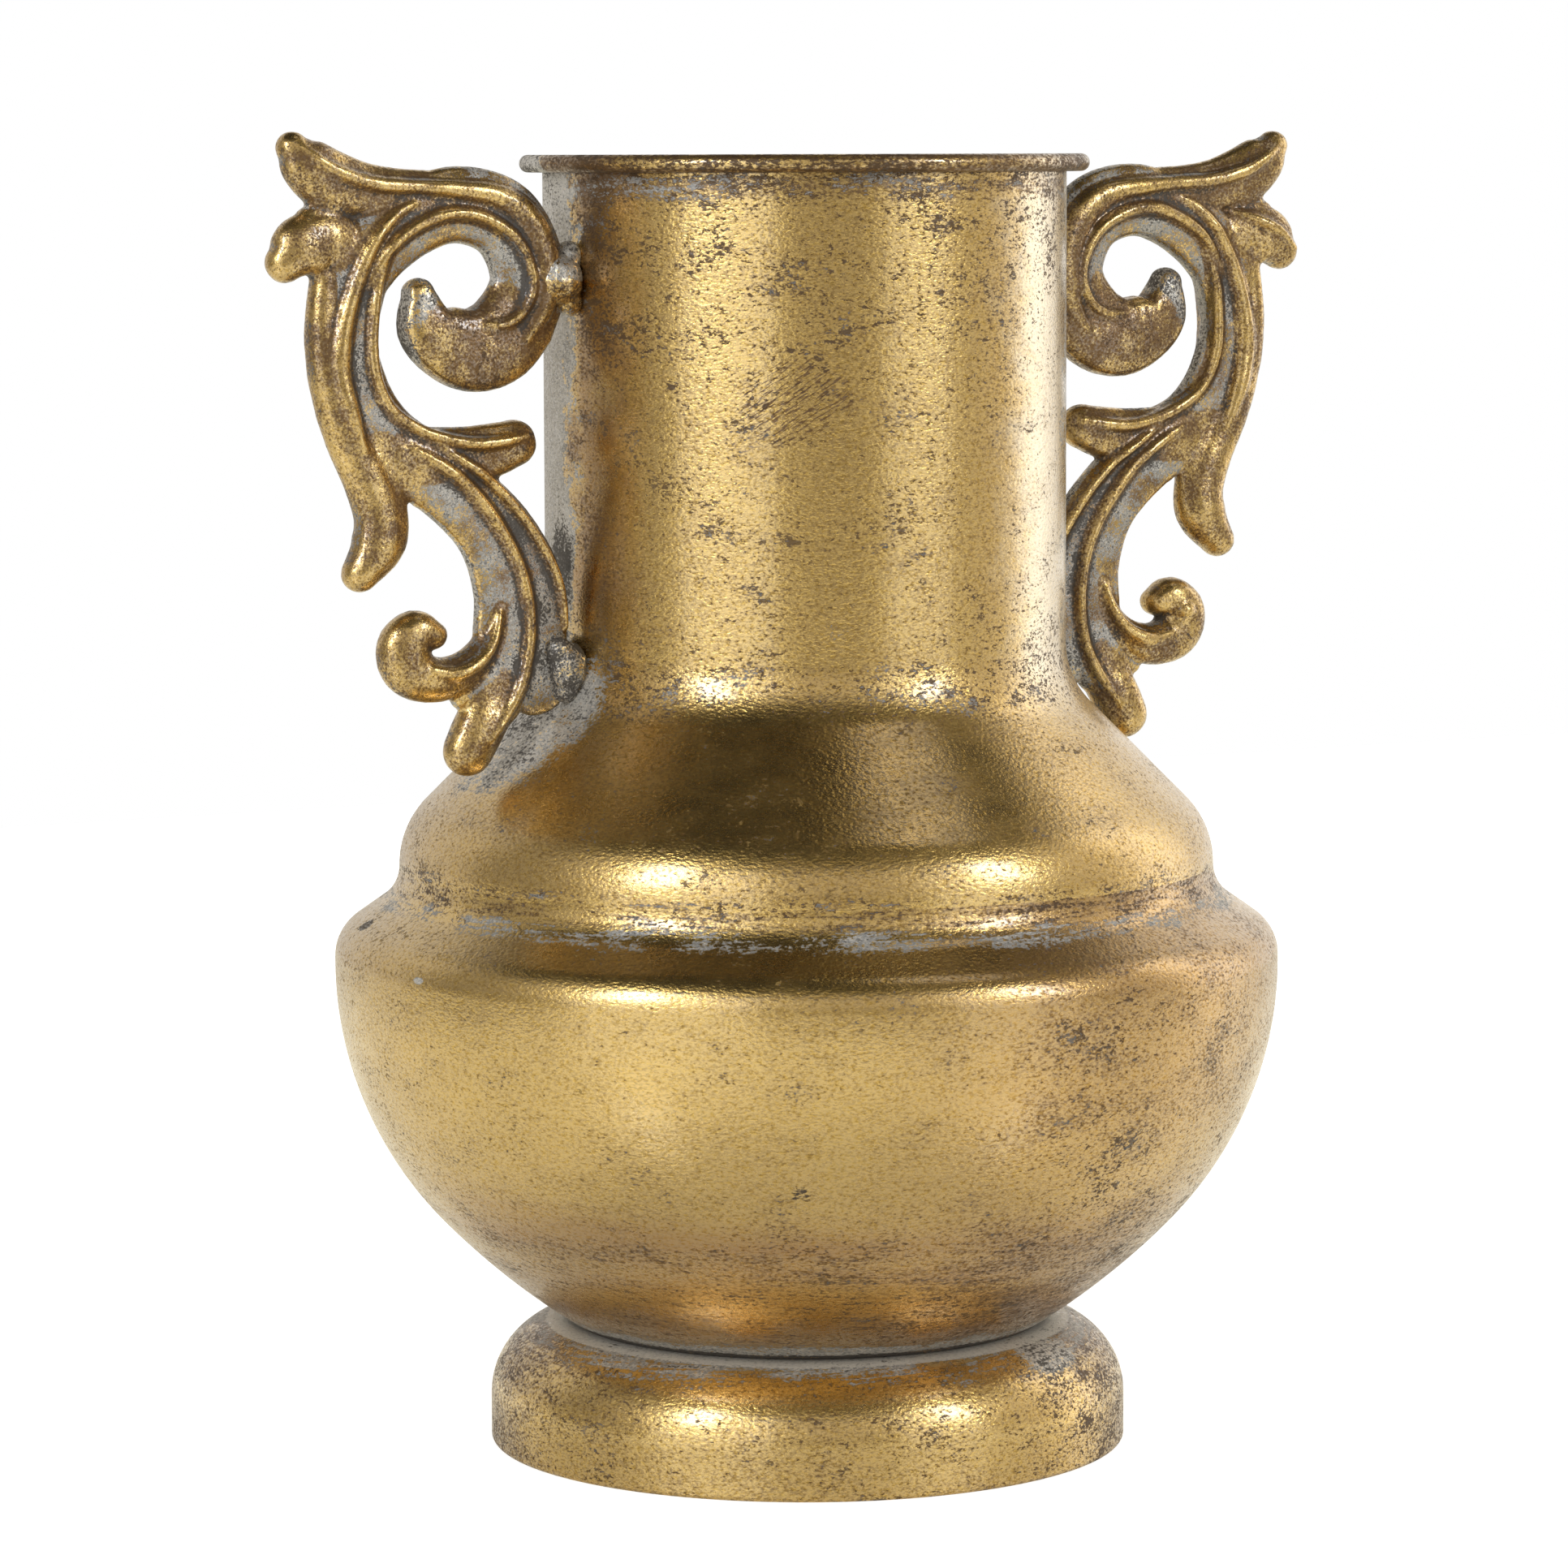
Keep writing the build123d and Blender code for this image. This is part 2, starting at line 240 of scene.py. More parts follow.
# Cast handle. Points are (out, up, half width, half depth): out from the vase's axis and up
# from the floor in the handle's plane, on the left handle, whose front is the -Y side.
bulb = [
    (115.6, 313.8, 4.0, 4.4), (113.2, 305.1, 8.0, 5.6), (106.5, 300.4, 10.0, 6.1),
    (99.5, 298.8, 11.2, 6.1), (92.5, 301.0, 11.4, 5.6), (87.4, 306.2, 11.2, 5.0),
]
ring = [
    (92.5, 301.0, 11.2, 4.6), (87.4, 306.2, 11.3, 5.0), (83.5, 318.2, 10.7, 5.2),
    (90.5, 332.1, 10.7, 5.2), (105.8, 336.4, 10.0, 5.0), (122.4, 329.7, 9.8, 4.8),
    (134.6, 317.6, 10.0, 4.6), (137.7, 303.4, 9.7, 4.4),
]
stem = [
    (134.6, 317.6, 9.8, 4.2), (137.7, 303.4, 9.7, 4.2), (135.1, 289.5, 10.2, 3.7),
    (127.2, 276.4, 10.5, 3.5), (110.6, 265.6, 9.5, 3.4), (95.3, 252.4, 10.6, 3.4),
    (87.4, 236.4, 12.8, 3.4), (87.9, 221.2, 12.8, 3.4), (94.9, 206.9, 8.2, 4.4),
]
tip = [
    (92.6, 212.0, 5.0, 3.6), (95.4, 206.0, 7.0, 4.8), (98.9, 199.6, 7.0, 6.0),
    (102.3, 193.4, 6.7, 5.8),
]
upper_leaf = [
    (112.8, 337.1, 8.5, 4.4), (127.6, 339.8, 7.0, 4.4), (139.9, 342.6, 8.2, 5.2),
    (147.2, 347.4, 7.2, 5.4), (150.8, 351.4, 4.2, 4.4),
]
lower_leaf = [
    (135.1, 323.6, 8.0, 3.8), (141.6, 327.2, 8.6, 5.0), (149.1, 325.3, 8.4, 6.0),
    (153.2, 321.9, 5.2, 5.2),
]
inner_leaf = [
    (120.7, 271.3, 8.0, 4.0), (104.5, 271.0, 7.8, 4.2), (94.9, 272.3, 7.2, 4.8),
    (88.3, 274.0, 6.2, 5.4),
]
drop_leaf = [
    (128.4, 272.3, 8.0, 3.6), (126.3, 258.3, 6.9, 4.2), (127.2, 249.4, 7.3, 5.4),
    (132.9, 241.2, 4.9, 5.2),
]
curl = [
    (93.6, 231.0, 2.2, 3.4), (95.4, 224.4, 3.2, 4.0), (99.4, 218.0, 4.4, 4.6),
    (105.6, 213.8, 5.4, 5.2), (112.8, 212.8, 6.2, 5.6), (119.2, 215.8, 7.2, 6.0),
    (120.6, 221.6, 7.2, 6.2), (117.0, 225.6, 5.8, 6.0), (112.4, 224.4, 3.8, 5.2),
]
stem_band = [
    (142.6, 318.0, 3.2, 4.0), (143.2, 304.0, 4.2, 4.6), (141.2, 290.0, 5.0, 4.9),
    (136.6, 277.0, 5.6, 5.0), (130.6, 265.0, 6.2, 5.2), (127.4, 255.4, 6.6, 5.6),
    (128.2, 248.0, 6.8, 6.0), (132.7, 241.6, 4.7, 5.4),
]
weld_pad = [(84.0, 224.6, 10.6, 3.6), (82.6, 211.6, 9.8, 3.6)]
notch_webs = [
    [(147.5, 334.0, 2.0, 3.0), (140.0, 336.0, 4.0, 3.4)],
    [(115.8, 260.0, 2.2, 2.8), (118.0, 264.0, 4.0, 3.2)],
    [(104.6, 206.8, 2.2, 3.0), (102.0, 210.0, 4.0, 3.2)],
]

# Raised lines of the casting, as (out, up, half width), on both faces
crest_line = [
    (150.0, 351.5, 1.4), (141.0, 345.6, 2.0), (128.7, 342.0, 2.2), (115.7, 341.2, 2.1),
    (103.7, 340.2, 2.6), (93.7, 338.4, 3.2), (86.5, 333.8, 3.8), (82.0, 326.6, 4.2),
    (80.4, 318.0, 4.2), (82.2, 308.4, 3.4), (87.0, 301.0, 2.2),
]
eye_line = [
    (131.5, 316.0, 1.2), (127.0, 323.6, 1.6), (120.7, 329.4, 1.8), (110.7, 333.9, 2.0),
    (100.7, 333.7, 1.9), (91.0, 328.8, 1.8), (86.0, 321.4, 1.6), (85.0, 314.4, 1.6),
    (88.0, 308.4, 1.6), (93.0, 305.4, 1.6), (98.6, 305.4, 1.0),
]
stem_line = [
    (117.5, 337.2, 1.0), (122.6, 334.8, 1.6), (129.0, 328.6, 1.9), (134.2, 319.0, 2.2),
    (138.2, 307.0, 2.6), (139.6, 294.4, 3.0), (136.8, 282.8, 2.6), (133.0, 273.0, 1.6),
]
inside_line = [
    (125.0, 325.0, 1.0), (128.8, 316.0, 1.6), (130.2, 305.4, 1.8), (129.8, 294.0, 1.8),
    (125.6, 284.6, 1.8), (118.7, 279.4, 1.8), (110.7, 276.2, 1.8), (100.7, 274.4, 1.8),
    (91.0, 275.2, 2.0), (86.0, 276.0, 1.4),
]
sweep_line = [
    (119.0, 273.6, 1.2), (112.0, 269.6, 1.8), (104.7, 264.6, 2.0), (98.0, 257.4, 2.0),
    (92.4, 249.4, 1.9), (88.0, 240.4, 1.8), (85.8, 230.4, 1.8), (85.9, 220.8, 1.7),
    (88.2, 211.4, 1.7), (92.6, 203.6, 1.8), (98.0, 196.6, 1.4),
]
edge_line = [
    (112.5, 275.0, 1.0), (106.0, 270.6, 1.4), (98.0, 265.4, 1.6), (90.2, 258.2, 1.6),
    (83.0, 249.0, 1.6), (77.8, 240.0, 1.5), (75.4, 231.8, 1.4), (74.4, 225.0, 1.0),
]
curl_line = [
    (94.2, 230.4, 0.9), (95.4, 225.4, 1.5), (98.2, 220.0, 1.9), (103.0, 216.0, 2.2),
    (109.0, 214.4, 2.2), (114.5, 215.6, 2.0),
]
leaf_line = [(136.5, 333.0, 1.2), (143.0, 330.8, 1.6), (150.0, 327.4, 1.6), (156.0, 322.6, 1.2)]
knob = [(119.0, 222.2, 3.6, 6.0), (119.8, 222.2, 3.6, 6.0)]
knob_lift = 1.4
cap_rows = 6
cap_start = 0.12
cap_least = 0.0004
line_depth = 1.7
line_proud = 1.3
line_swell = 1.6
line_climb = 0.45
line_sink = 0.2
line_spacing = 4.0
least_depth = 3.0
handle_forward = 1.1
handle_gap = 0.4
cast_grain = 0.6
cast_rounds = 4
hollow_rounds = 40
cast_lumps = ((110, 0.16), (520, 0.07))
weld_grain = 0.5
weld_rounds = 5
weld_lumps = ((300, 0.45), (800, 0.2))


def smooth_run(points, step=1.0):
    """Rows of control points run into a smooth line of about the given spacing."""
    rows = np.array(points, float)
    padded = np.vstack([2 * rows[0] - rows[1], rows, 2 * rows[-1] - rows[-2]])
    run = []
    for i in range(len(rows) - 1):
        a, b, c, d = padded[i : i + 4]
        count = max(2, int(np.linalg.norm(c[:2] - b[:2]) / step))
        bend = 2 * a - 5 * b + 4 * c - d
        twist = 3 * b - a - 3 * c + d
        for t in np.arange(count) / count:
            run.append(0.5 * (2 * b + (c - a) * t + bend * t**2 + twist * t**3))
    run.append(rows[-1])
    return np.array(run)


def limb_skin(points, power=2.2, lift=0.0, ring_points=28):
    """Closed skin of a limb: a flattened oval section along a smooth line, with round ends."""
    run = smooth_run(points)
    along = np.gradient(run[:, :2], axis=0)
    along /= np.linalg.norm(along, axis=1)[:, None]
    cap_turns = np.linspace(1, cap_start, cap_rows) * pi / 2
    cap = [(reach, sqrt(max(1 - reach**2, cap_least))) for reach in np.sin(cap_turns)]
    sections = []
    for reach, share in cap:
        sections.append((run[0, :2] - along[0] * run[0, 2] * reach, along[0], run[0], share))
    for spot, way in zip(run, along):
        sections.append((spot[:2], way, spot, 1.0))
    for reach, share in cap[::-1]:
        sections.append((run[-1, :2] + along[-1] * run[-1, 2] * reach, along[-1], run[-1], share))
    turns = np.linspace(0, 2 * pi, ring_points, endpoint=False)
    side = np.sign(np.cos(turns)) * np.abs(np.cos(turns)) ** (2 / power)
    face = np.sign(np.sin(turns)) * np.abs(np.sin(turns)) ** (2 / power)
    skin = []
    for spot, way, size, share in sections:
        across = np.array([-way[1], way[0]])
        for s, f in zip(side, face):
            out, up = spot + across * size[2] * share * s
            skin.append((-out, lift + size[3] * share * f, up))
    last = (len(sections) - 1) * ring_points
    faces = [tuple(range(ring_points)), tuple(last + i for i in range(ring_points - 1, -1, -1))]
    for start in range(0, last, ring_points):
        for k in range(ring_points):
            m = (k + 1) % ring_points
            faces.append((start + k, start + m, start + ring_points + m, start + ring_points + k))
    return skin, faces


def depth_at(out, up, limbs):
    """Half depth of the casting under a raised line, from the limbs that pass there."""
    deepest = least_depth
    for points, power in limbs:
        run = smooth_run(points)
        away = np.linalg.norm(run[:, :2] - (out, up), axis=1)
        near = run[away.argmin()]
        inside = away.min() / near[2]
        if inside < 1:
            deepest = max(deepest, near[3] * (1 - inside**power) ** (1 / power))
    return deepest


def raised_skin(rows, lifts, face):
    """Skin of a raised line whose middle stays at the given lifts over one face."""
    points, faces = limb_skin(rows, power=2.0, ring_points=14)
    run = smooth_run(rows)
    ways = np.linspace(0, len(lifts) - 1, len(run))
    heights = np.interp(ways, range(len(lifts)), lifts)
    tree = KDTree(len(run))
    for i, spot in enumerate(run):
        tree.insert((-spot[0], 0, spot[1]), i)
    tree.balance()
    moved = []
    for x, y, z in points:
        index = tree.find((x, 0, z))[1]
        moved.append((x, y * line_swell + face * heights[index], z))
    return moved, faces


def cast_skins():
    """All skins of one handle, as (points, faces, is gilded).

    The number beside a limb tells its section: 2 is an oval, and more is squarer."""
    plain = [(ring, 2.4), (stem, 3.4), (weld_pad, 3.4)] + [(web, 2.4) for web in notch_webs]
    raised = [(bulb, 3.2), (tip, 2.2), (upper_leaf, 2.2), (lower_leaf, 2.2), (inner_leaf, 2.4)]
    raised += [(drop_leaf, 2.2), (curl, 2.2), (stem_band, 2.2)]
    skins = [(*limb_skin(points, power), False) for points, power in plain]
    skins += [(*limb_skin(points, power), True) for points, power in raised]
    skins.append((*limb_skin(knob, 2.0, knob_lift), True))
    both = [crest_line, eye_line, stem_line, inside_line, sweep_line, edge_line, curl_line]
    for face, extra in ((-1, []), (1, [leaf_line])):
        for line in both + extra:
            run = smooth_run(line, line_spacing)
            rows = []
            lifts = []
            for i, (out, up, half) in enumerate(run):
                from_end = min(i, len(run) - 1 - i)
                rise = line_proud * min(1.0, line_climb * from_end - line_sink)
                rows.append((out, up, half, line_depth))
                lifts.append(depth_at(out, up, plain + raised) + rise - line_depth)
            skins.append((*raised_skin(rows, lifts, face), True))
    return skins


def body_radius(height):
    """Outside radius of the neck and the shoulder's hollow at a height."""
    drop = np.clip(neck_seam - height, 0, flare_fillet * slope_rise)
    return fillet_centre[0] - np.sqrt(flare_fillet**2 - drop**2)


def spread(values, links, rounds, share=0.5):
    """Values of a mesh's points evened out with their neighbours a number of times."""
    count = len(values)
    neighbours = np.bincount(links.ravel(), minlength=count).astype(float)
    for _ in range(rounds):
        sums = np.zeros_like(values)
        for axis in range(values.shape[1]):
            sums[:, axis] = np.bincount(links[:, 0], values[links[:, 1], axis], count)
            sums[:, axis] += np.bincount(links[:, 1], values[links[:, 0], axis], count)
        values = values * (1 - share) + share * sums / neighbours[:, None]
    return values


def mesh_points(mesh, label="co"):
    """Places or normals of a mesh's points, a row each."""
    values = np.zeros(len(mesh.vertices) * 3)
    mesh.vertices.foreach_get(label, values)
    return values.reshape(-1, 3)


def mesh_links(mesh):
    """Pairs of a mesh's points that an edge joins."""
    pairs = np.zeros(len(mesh.edges) * 2, int)
    mesh.edges.foreach_get("vertices", pairs)
    return pairs.reshape(-1, 2)


def move_points(mesh, spots):
    """Puts a mesh's points in new places."""
    mesh.vertices.foreach_set("co", spots.ravel())
    mesh.update()


def lump_height(place, lumps):
    """Unevenness of a cast or welded skin at a place, in millimetres."""
    return sum(noise.noise(Vector(place * scale)) * height for scale, height in lumps)


def joined(skins):
    """Points and faces of several skins, in one list each."""
    points = []
    faces = []
    for skin in skins:
        start = len(points)
        points += skin[0]
        faces += [tuple(start + i for i in face) for face in skin[1]]
    return points, faces


def fused_mesh(name, skins, grain):
    """One closed mesh run together from overlapping skins, on a grid of the given size."""
    points, faces = joined(skins)
    rough = bpy.data.meshes.new(name + "_skins")
    rough.from_pydata(in_metres(points), [], faces)
    holder = add_object(name, rough)
    fuse = holder.modifiers.new("fuse", "REMESH")
    fuse.mode = "VOXEL"
    fuse.voxel_size = grain * MM
    graph = bpy.context.evaluated_depsgraph_get()
    mesh = bpy.data.meshes.new_from_object(holder.evaluated_get(graph))
    holder.modifiers.clear()
    holder.data = mesh
    bpy.data.meshes.remove(rough)
    return holder


def cast_handle():
    """The left handle as one casting, with its gilding and its hollows kept as attributes."""
    skins = cast_skins()
    handle = fused_mesh("cast_left_handle", skins, cast_grain)
    mesh = handle.data
    links = mesh_links(mesh)
    spots = spread(mesh_points(mesh), links, cast_rounds) - (0, handle_forward * MM, 0)
    move_points(mesh, spots)
    normals = mesh_points(mesh, "normal")
    lumps = np.array([lump_height(p, cast_lumps) for p in spots])
    spots = spots + normals * (lumps * MM)[:, None]
    radius = np.hypot(spots[:, 0], spots[:, 1])
    wanted = (body_radius(spots[:, 2] / MM) + handle_gap) * MM
    inside = radius < wanted
    spots[inside, 0] *= (wanted / radius)[inside]
    move_points(mesh, spots)
    hollow = ((spread(spots, links, hollow_rounds) - spots) * normals).sum(axis=1) / MM
    points, faces = joined([skin for skin in skins if skin[2]])
    gilded = BVHTree.FromPolygons([Vector((x, y - handle_forward, z)) * MM for x, y, z in points], faces)
    gilding = np.array([gilded.find_nearest(Vector(p))[3] for p in spots]) / MM
    for label, values in (("hollow", hollow), ("off_gilding", gilding)):
        field = mesh.attributes.new(label, "FLOAT", "POINT")
        field.data.foreach_set("value", values.astype(np.float32))
    mesh.shade_smooth()
    return handle


def turned_copy(piece, name):
    """The same piece turned half round the vase."""
    copy = add_object(name, piece.data.copy())
    move_points(copy.data, mesh_points(copy.data) * (-1, -1, 1))
    return copy


def weld_blobs(name, blobs):
    """Weld of run-together drops, each (out, toward the back, up, half sizes)."""
    skins = []
    for out, back, up, half_out, half_up, half_back in blobs:
        work = bmesh.new()
        bmesh.ops.create_icosphere(work, subdivisions=3, radius=1.0)
        points = [
            (-out + v.co.x * half_out, back + v.co.y * half_back, up + v.co.z * half_up) for v in work.verts
        ]
        faces = [tuple(v.index for v in face.verts) for face in work.faces]
        work.free()
        skins.append((points, faces))
    weld = fused_mesh(name, skins, weld_grain)
    mesh = weld.data
    move_points(mesh, spread(mesh_points(mesh), mesh_links(mesh), weld_rounds))
    for v in mesh.vertices:
        v.co += v.normal * lump_height(v.co, weld_lumps) * MM
    mesh.update()
    mesh.shade_smooth()
    return weld


left_handle = cast_handle()
right_handle = turned_copy(left_handle, "cast_right_handle")
upper_drops = [
    (76.6, -5.2, 316.6, 6.6, 6.6, 5.6), (72.8, -2.4, 322.6, 3.8, 4.2, 4.6),
    (73.2, -3.4, 311.0, 4.0, 3.8, 4.6), (72.6, 2.0, 317.6, 4.0, 7.6, 4.8),
]
lower_drops = [
    (74.4, -4.6, 214.6, 5.4, 7.0, 5.2), (77.4, -4.8, 219.0, 3.6, 3.8, 3.6),
    (74.6, -3.4, 208.8, 4.0, 3.8, 4.2), (73.0, 2.0, 214.6, 3.8, 8.0, 4.8),
]
left_upper_weld = weld_blobs("left_upper_handle_weld", upper_drops)
left_lower_weld = weld_blobs("left_lower_handle_weld", lower_drops)
right_upper_weld = turned_copy(left_upper_weld, "right_upper_handle_weld")
right_lower_weld = turned_copy(left_lower_weld, "right_lower_handle_weld")


# Materials


def plug(tree, socket, value):
    """Sets an input to a number or colour, or joins it to another node's output."""
    if isinstance(value, bpy.types.NodeSocket):
        tree.links.new(value, socket)
    else:
        socket.default_value = value


def add_node(tree, kind, *values):
    """Node of a kind, whose first inputs take the values."""
    node = tree.nodes.new(kind)
    for socket, value in zip(node.inputs, values):
        plug(tree, socket, value)
    return node


def fill(tree, node, values):
    """Gives named inputs of a node their values."""
    for label, value in values.items():
        plug(tree, node.inputs[label], value)


def calc(tree, operation, first, second=0.0, clamp=False):
    """Result of one operation on one or two values."""
    node = add_node(tree, "ShaderNodeMath", first, second)
    node.operation = operation
    node.use_clamp = clamp
    return node.outputs[0]


def fade(tree, value, low, high, low_out=0.0, high_out=1.0):
    """Smooth change from one output to another as a value goes from low to high, or down to it."""
    node = add_node(tree, "ShaderNodeMapRange", value, low, high, low_out, high_out)
    node.interpolation_type = "SMOOTHSTEP"
    return node.outputs["Result"]


def blend(tree, share, first, second):
    """Colour between two colours."""
    node = tree.nodes.new("ShaderNodeMix")
    node.data_type = "RGBA"
    plug(tree, node.inputs[0], share)
    plug(tree, node.inputs[6], first)
    plug(tree, node.inputs[7], second)
    return node.outputs[2]


def cloud(tree, place, scale, detail=2.0, roughness=0.5, swirl=0.0):
    """Noise of a given scale per metre, about zero, with a usual spread of one."""
    node = add_node(tree, "ShaderNodeTexNoise", place)
    fill(tree, node, {"Scale": scale, "Detail": detail, "Roughness": roughness, "Distortion": swirl})
    return offset(tree, node.outputs["Fac"], 0.5, noise_spread)


def total(tree, *parts):
    """Sum of weighted masks, each (weight, mask)."""
    result = 0.0
    for weight, mask in parts:
        result = calc(tree, "ADD", result, times(tree, mask, weight))
    return result


def times(tree, *masks):
    """Product of values, such as masks that have to hold together."""
    result = masks[0]
    for mask in masks[1:]:
        result = calc(tree, "MULTIPLY", result, mask)
    return result


def offset(tree, value, middle, half):
    """How far a value is from a middle, counted in half sizes."""
    return calc(tree, "DIVIDE", calc(tree, "SUBTRACT", value, middle), half)


def square_sum(tree, first, second):
    """Sum of the squares of two values."""
    return total(tree, (first, first), (second, second))


def place_split(tree, place):
    """The three parts of a place."""
    return add_node(tree, "ShaderNodeSeparateXYZ", place).outputs


def place_join(tree, *parts):
    """Place from its parts."""
    return add_node(tree, "ShaderNodeCombineXYZ", *parts).outputs[0]


def seen_from_front(tree, place):
    """A place turned about the vase's axis until the front faces -Y."""
    node = add_node(tree, "ShaderNodeVectorRotate", place)
    node.rotation_type = "Z_AXIS"
    node.inputs["Angle"].default_value = radians(-front_turn)
    return node.outputs[0]


def bearing_of(tree, across, away):
    """Degrees from the front, counted to the right."""
    turn = calc(tree, "ARCTAN2", across, times(tree, away, -1.0))
    return times(tree, turn, degrees(1))


def reach_along(tree, place, direction):
    """How far a place lies in a direction."""
    node = add_node(tree, "ShaderNodeVectorMath", place, direction)
    node.operation = "DOT_PRODUCT"
    return node.outputs["Value"]


def point_value(tree, label):
    """Value kept with the points of a mesh."""
    node = tree.nodes.new("ShaderNodeAttribute")
    node.attribute_name = label
    return node.outputs["Fac"]


def new_group(name, takes, gives):
    """Empty shader group with named inputs and outputs, and its two end nodes."""
    group = bpy.data.node_groups.new(name, "ShaderNodeTree")
    for label, kind in takes:
        group.interface.new_socket(label, in_out="INPUT", socket_type=kind)
    for label, kind in gives:
        group.interface.new_socket(label, in_out="OUTPUT", socket_type=kind)
    start = group.nodes.new("NodeGroupInput").outputs
    end = group.nodes.new("NodeGroupOutput").inputs
    return group, start, end


def new_material(name):
    """Material with its nodes and its shader."""
    material = bpy.data.materials.new(name)
    material.use_nodes = True
    return material, material.node_tree, material.node_tree.nodes["Principled BSDF"]


VALUE, VECTOR, COLOUR = "NodeSocketFloat", "NodeSocketVector", "NodeSocketColor"

noise_spread = 0.063
gilt_gold = (0.80, 0.55, 0.165, 1)
gilt_dull = (0.42, 0.264, 0.068, 1)
gilt_copper = (0.44, 0.245, 0.075, 1)
# The pale gold of a painted highlight
painted_highlight_gold = (0.86, 0.78, 0.62, 1)
umber = (0.19, 0.108, 0.043, 1)
dark_umber = (0.095, 0.053, 0.022, 1)
primer = (0.335, 0.328, 0.31, 1)
primer_pale = (0.70, 0.665, 0.595, 1)
# Dark brown of dirt, also used for painted shade
dirt_and_shade_brown = (0.05, 0.04, 0.031, 1)
steel_grey = (0.28, 0.27, 0.26, 1)
white = (1, 1, 1, 1)


def make_round_group():
    """Where a point is round the body: degrees from the front and height in millimetres, with
    its place drawn out level, a little for the grain and a lot for brush streaks."""
    group, takes, gives = new_group(
        "round the body",
        [("Place", VECTOR)],
        [("Facing", VALUE), ("Height", VALUE), ("Grain", VECTOR), ("Streak", VECTOR)],
    )
    across, away, up = place_split(group, seen_from_front(group, takes["Place"]))
    radius = calc(group, "SQRT", square_sum(group, across, away))
    group.links.new(bearing_of(group, across, away), gives["Facing"])
    group.links.new(times(group, up, 1 / MM), gives["Height"])
    for label, share, outward in (("Grain", 0.55, 0.0), ("Streak", 0.1, 1.0)):
        level = total(group, (share, across), (outward, radius))
        drawn = place_join(group, level, times(group, away, share), up)
        group.links.new(drawn, gives[label])
    return group


def make_gilt_group():
    """Worn gilding: gold with brown flecks, over a grey primer that shows where it is rubbed."""
    masks = ("Flecks", "Umber", "Primer", "Copper", "Painted highlight", "Brushed", "Dirt and shade")
    finish = ("Metallic", "Roughness", "Varnish", "Height")
    group, takes, gives = new_group(
        "aged gilt",
        [("Place", VECTOR), ("Streak", VECTOR)] + [(label, VALUE) for label in masks],
        [("Color", COLOUR)] + [(label, VALUE) for label in finish],
    )
    place = takes["Place"]
    flecks = takes["Flecks"]
    patch = cloud(group, place, 26, 3, 0.55)
    smudge = cloud(group, place, 95, 5, 0.6)
    peel = cloud(group, place, 1500, 1, 0.5)
    grit = cloud(group, place, 2200, 2, 0.6)
    speckle = cloud(group, place, 1150, 6, 0.74, 0.25)
    cluster = cloud(group, place, 230, 3, 0.6)
    chips = cloud(group, place, 640, 5, 0.7, 0.5)
    brush = times(group, cloud(group, takes["Streak"], 800, 4, 0.65), takes["Brushed"])
    field = total(group, (0.85, speckle), (-0.35, peel), (0.25, grit), (0.8, brush))
    limit = total(group, (2.05, 1.0), (-1.9, flecks), (-0.3, patch), (-0.2, smudge), (-0.25, cluster))
    fleck = fade(group, field, limit, calc(group, "ADD", limit, 0.9))
    limit = total(group, (2.75, 1.0), (-1.9, flecks), (-0.25, patch), (-0.4, smudge), (-0.4, cluster))
    chip = fade(group, chips, limit, calc(group, "ADD", limit, 0.4))
    fleck = calc(group, "MAXIMUM", fleck, chip)
    strength = fade(group, flecks, -0.2, 0.4, 0.35, 0.95)
    wear = fade(group, total(group, (0.7, field), (0.5, grit), (0.2, smudge)), -1.3, 1.6)
    wear = total(group, (0.5, 1.0), (-0.5, strength), (1.0, times(group, wear, strength)))
    gold = blend(group, wear, gilt_gold, gilt_dull)
    gold = blend(group, times(group, takes["Copper"], 0.9), gold, gilt_copper)
    # Painted highlight: the gold turned pale where a bright reflection is painted in
    gold = blend(group, takes["Painted highlight"], gold, painted_highlight_gold)
    tarnish = fade(group, total(group, (3.0, takes["Umber"]), (0.25, smudge), (0.5, field)), 0.2, 2.8)
    gold = blend(group, tarnish, gold, umber)
    flecked = blend(group, times(group, fleck, strength), gold, dark_umber)
    bare = fade(group, total(group, (4.0, takes["Primer"]), (0.6, smudge), (0.7, field)), 1.9, 3.1)
    mottle = fade(group, total(group, (0.7, speckle), (0.5, grit), (-1.5, takes["Primer"])), -3.0, 0.6)
    colour = blend(group, bare, flecked, blend(group, mottle, primer_pale, primer))
    # Dark brown over the colour: real dirt in places, and painted shade in hollows, creases and next to
    # other parts
    dirt_and_shade = fade(group, total(group, (4.0, takes["Dirt and shade"]), (0.4, smudge), (0.6, field)), 1.6, 3.2)
    colour = blend(group, times(group, dirt_and_shade, 0.9), colour, dirt_and_shade_brown)
    cover = 0.0
    for share, layer in ((0.6, fleck), (0.6, bare), (0.3, tarnish), (0.9, dirt_and_shade)):
        cover = calc(group, "MAXIMUM", cover, times(group, layer, share))
    gloss = total(
        group, (0.85, 1.0), (-0.75, fleck), (0.22, peel), (-0.6, bare), (-0.5, tarnish),
        (-0.6, dirt_and_shade),
    )
    rough = total(group, (0.26, 1.0), (0.28, cover), (0.02, smudge), (0.05, wear))
    relief = total(group, (1.0, peel), (0.3, grit), (-1.2, fleck), (0.6, brush), (0.4, smudge))
    metal = calc(group, "SUBTRACT", 1.0, cover)
    varnish = calc(group, "ADD", gloss, 0.0, True)
    for socket, value in zip(gives, (colour, metal, rough, varnish, relief)):
        plug(group, socket, value)
    return group


round_group = make_round_group()
gilt_group = make_gilt_group()
varnish_roughness = 0.2
varnish_index = 1.95
sheet_peel = 0.009
handle_peel = 0.007
weld_peel = 0.008


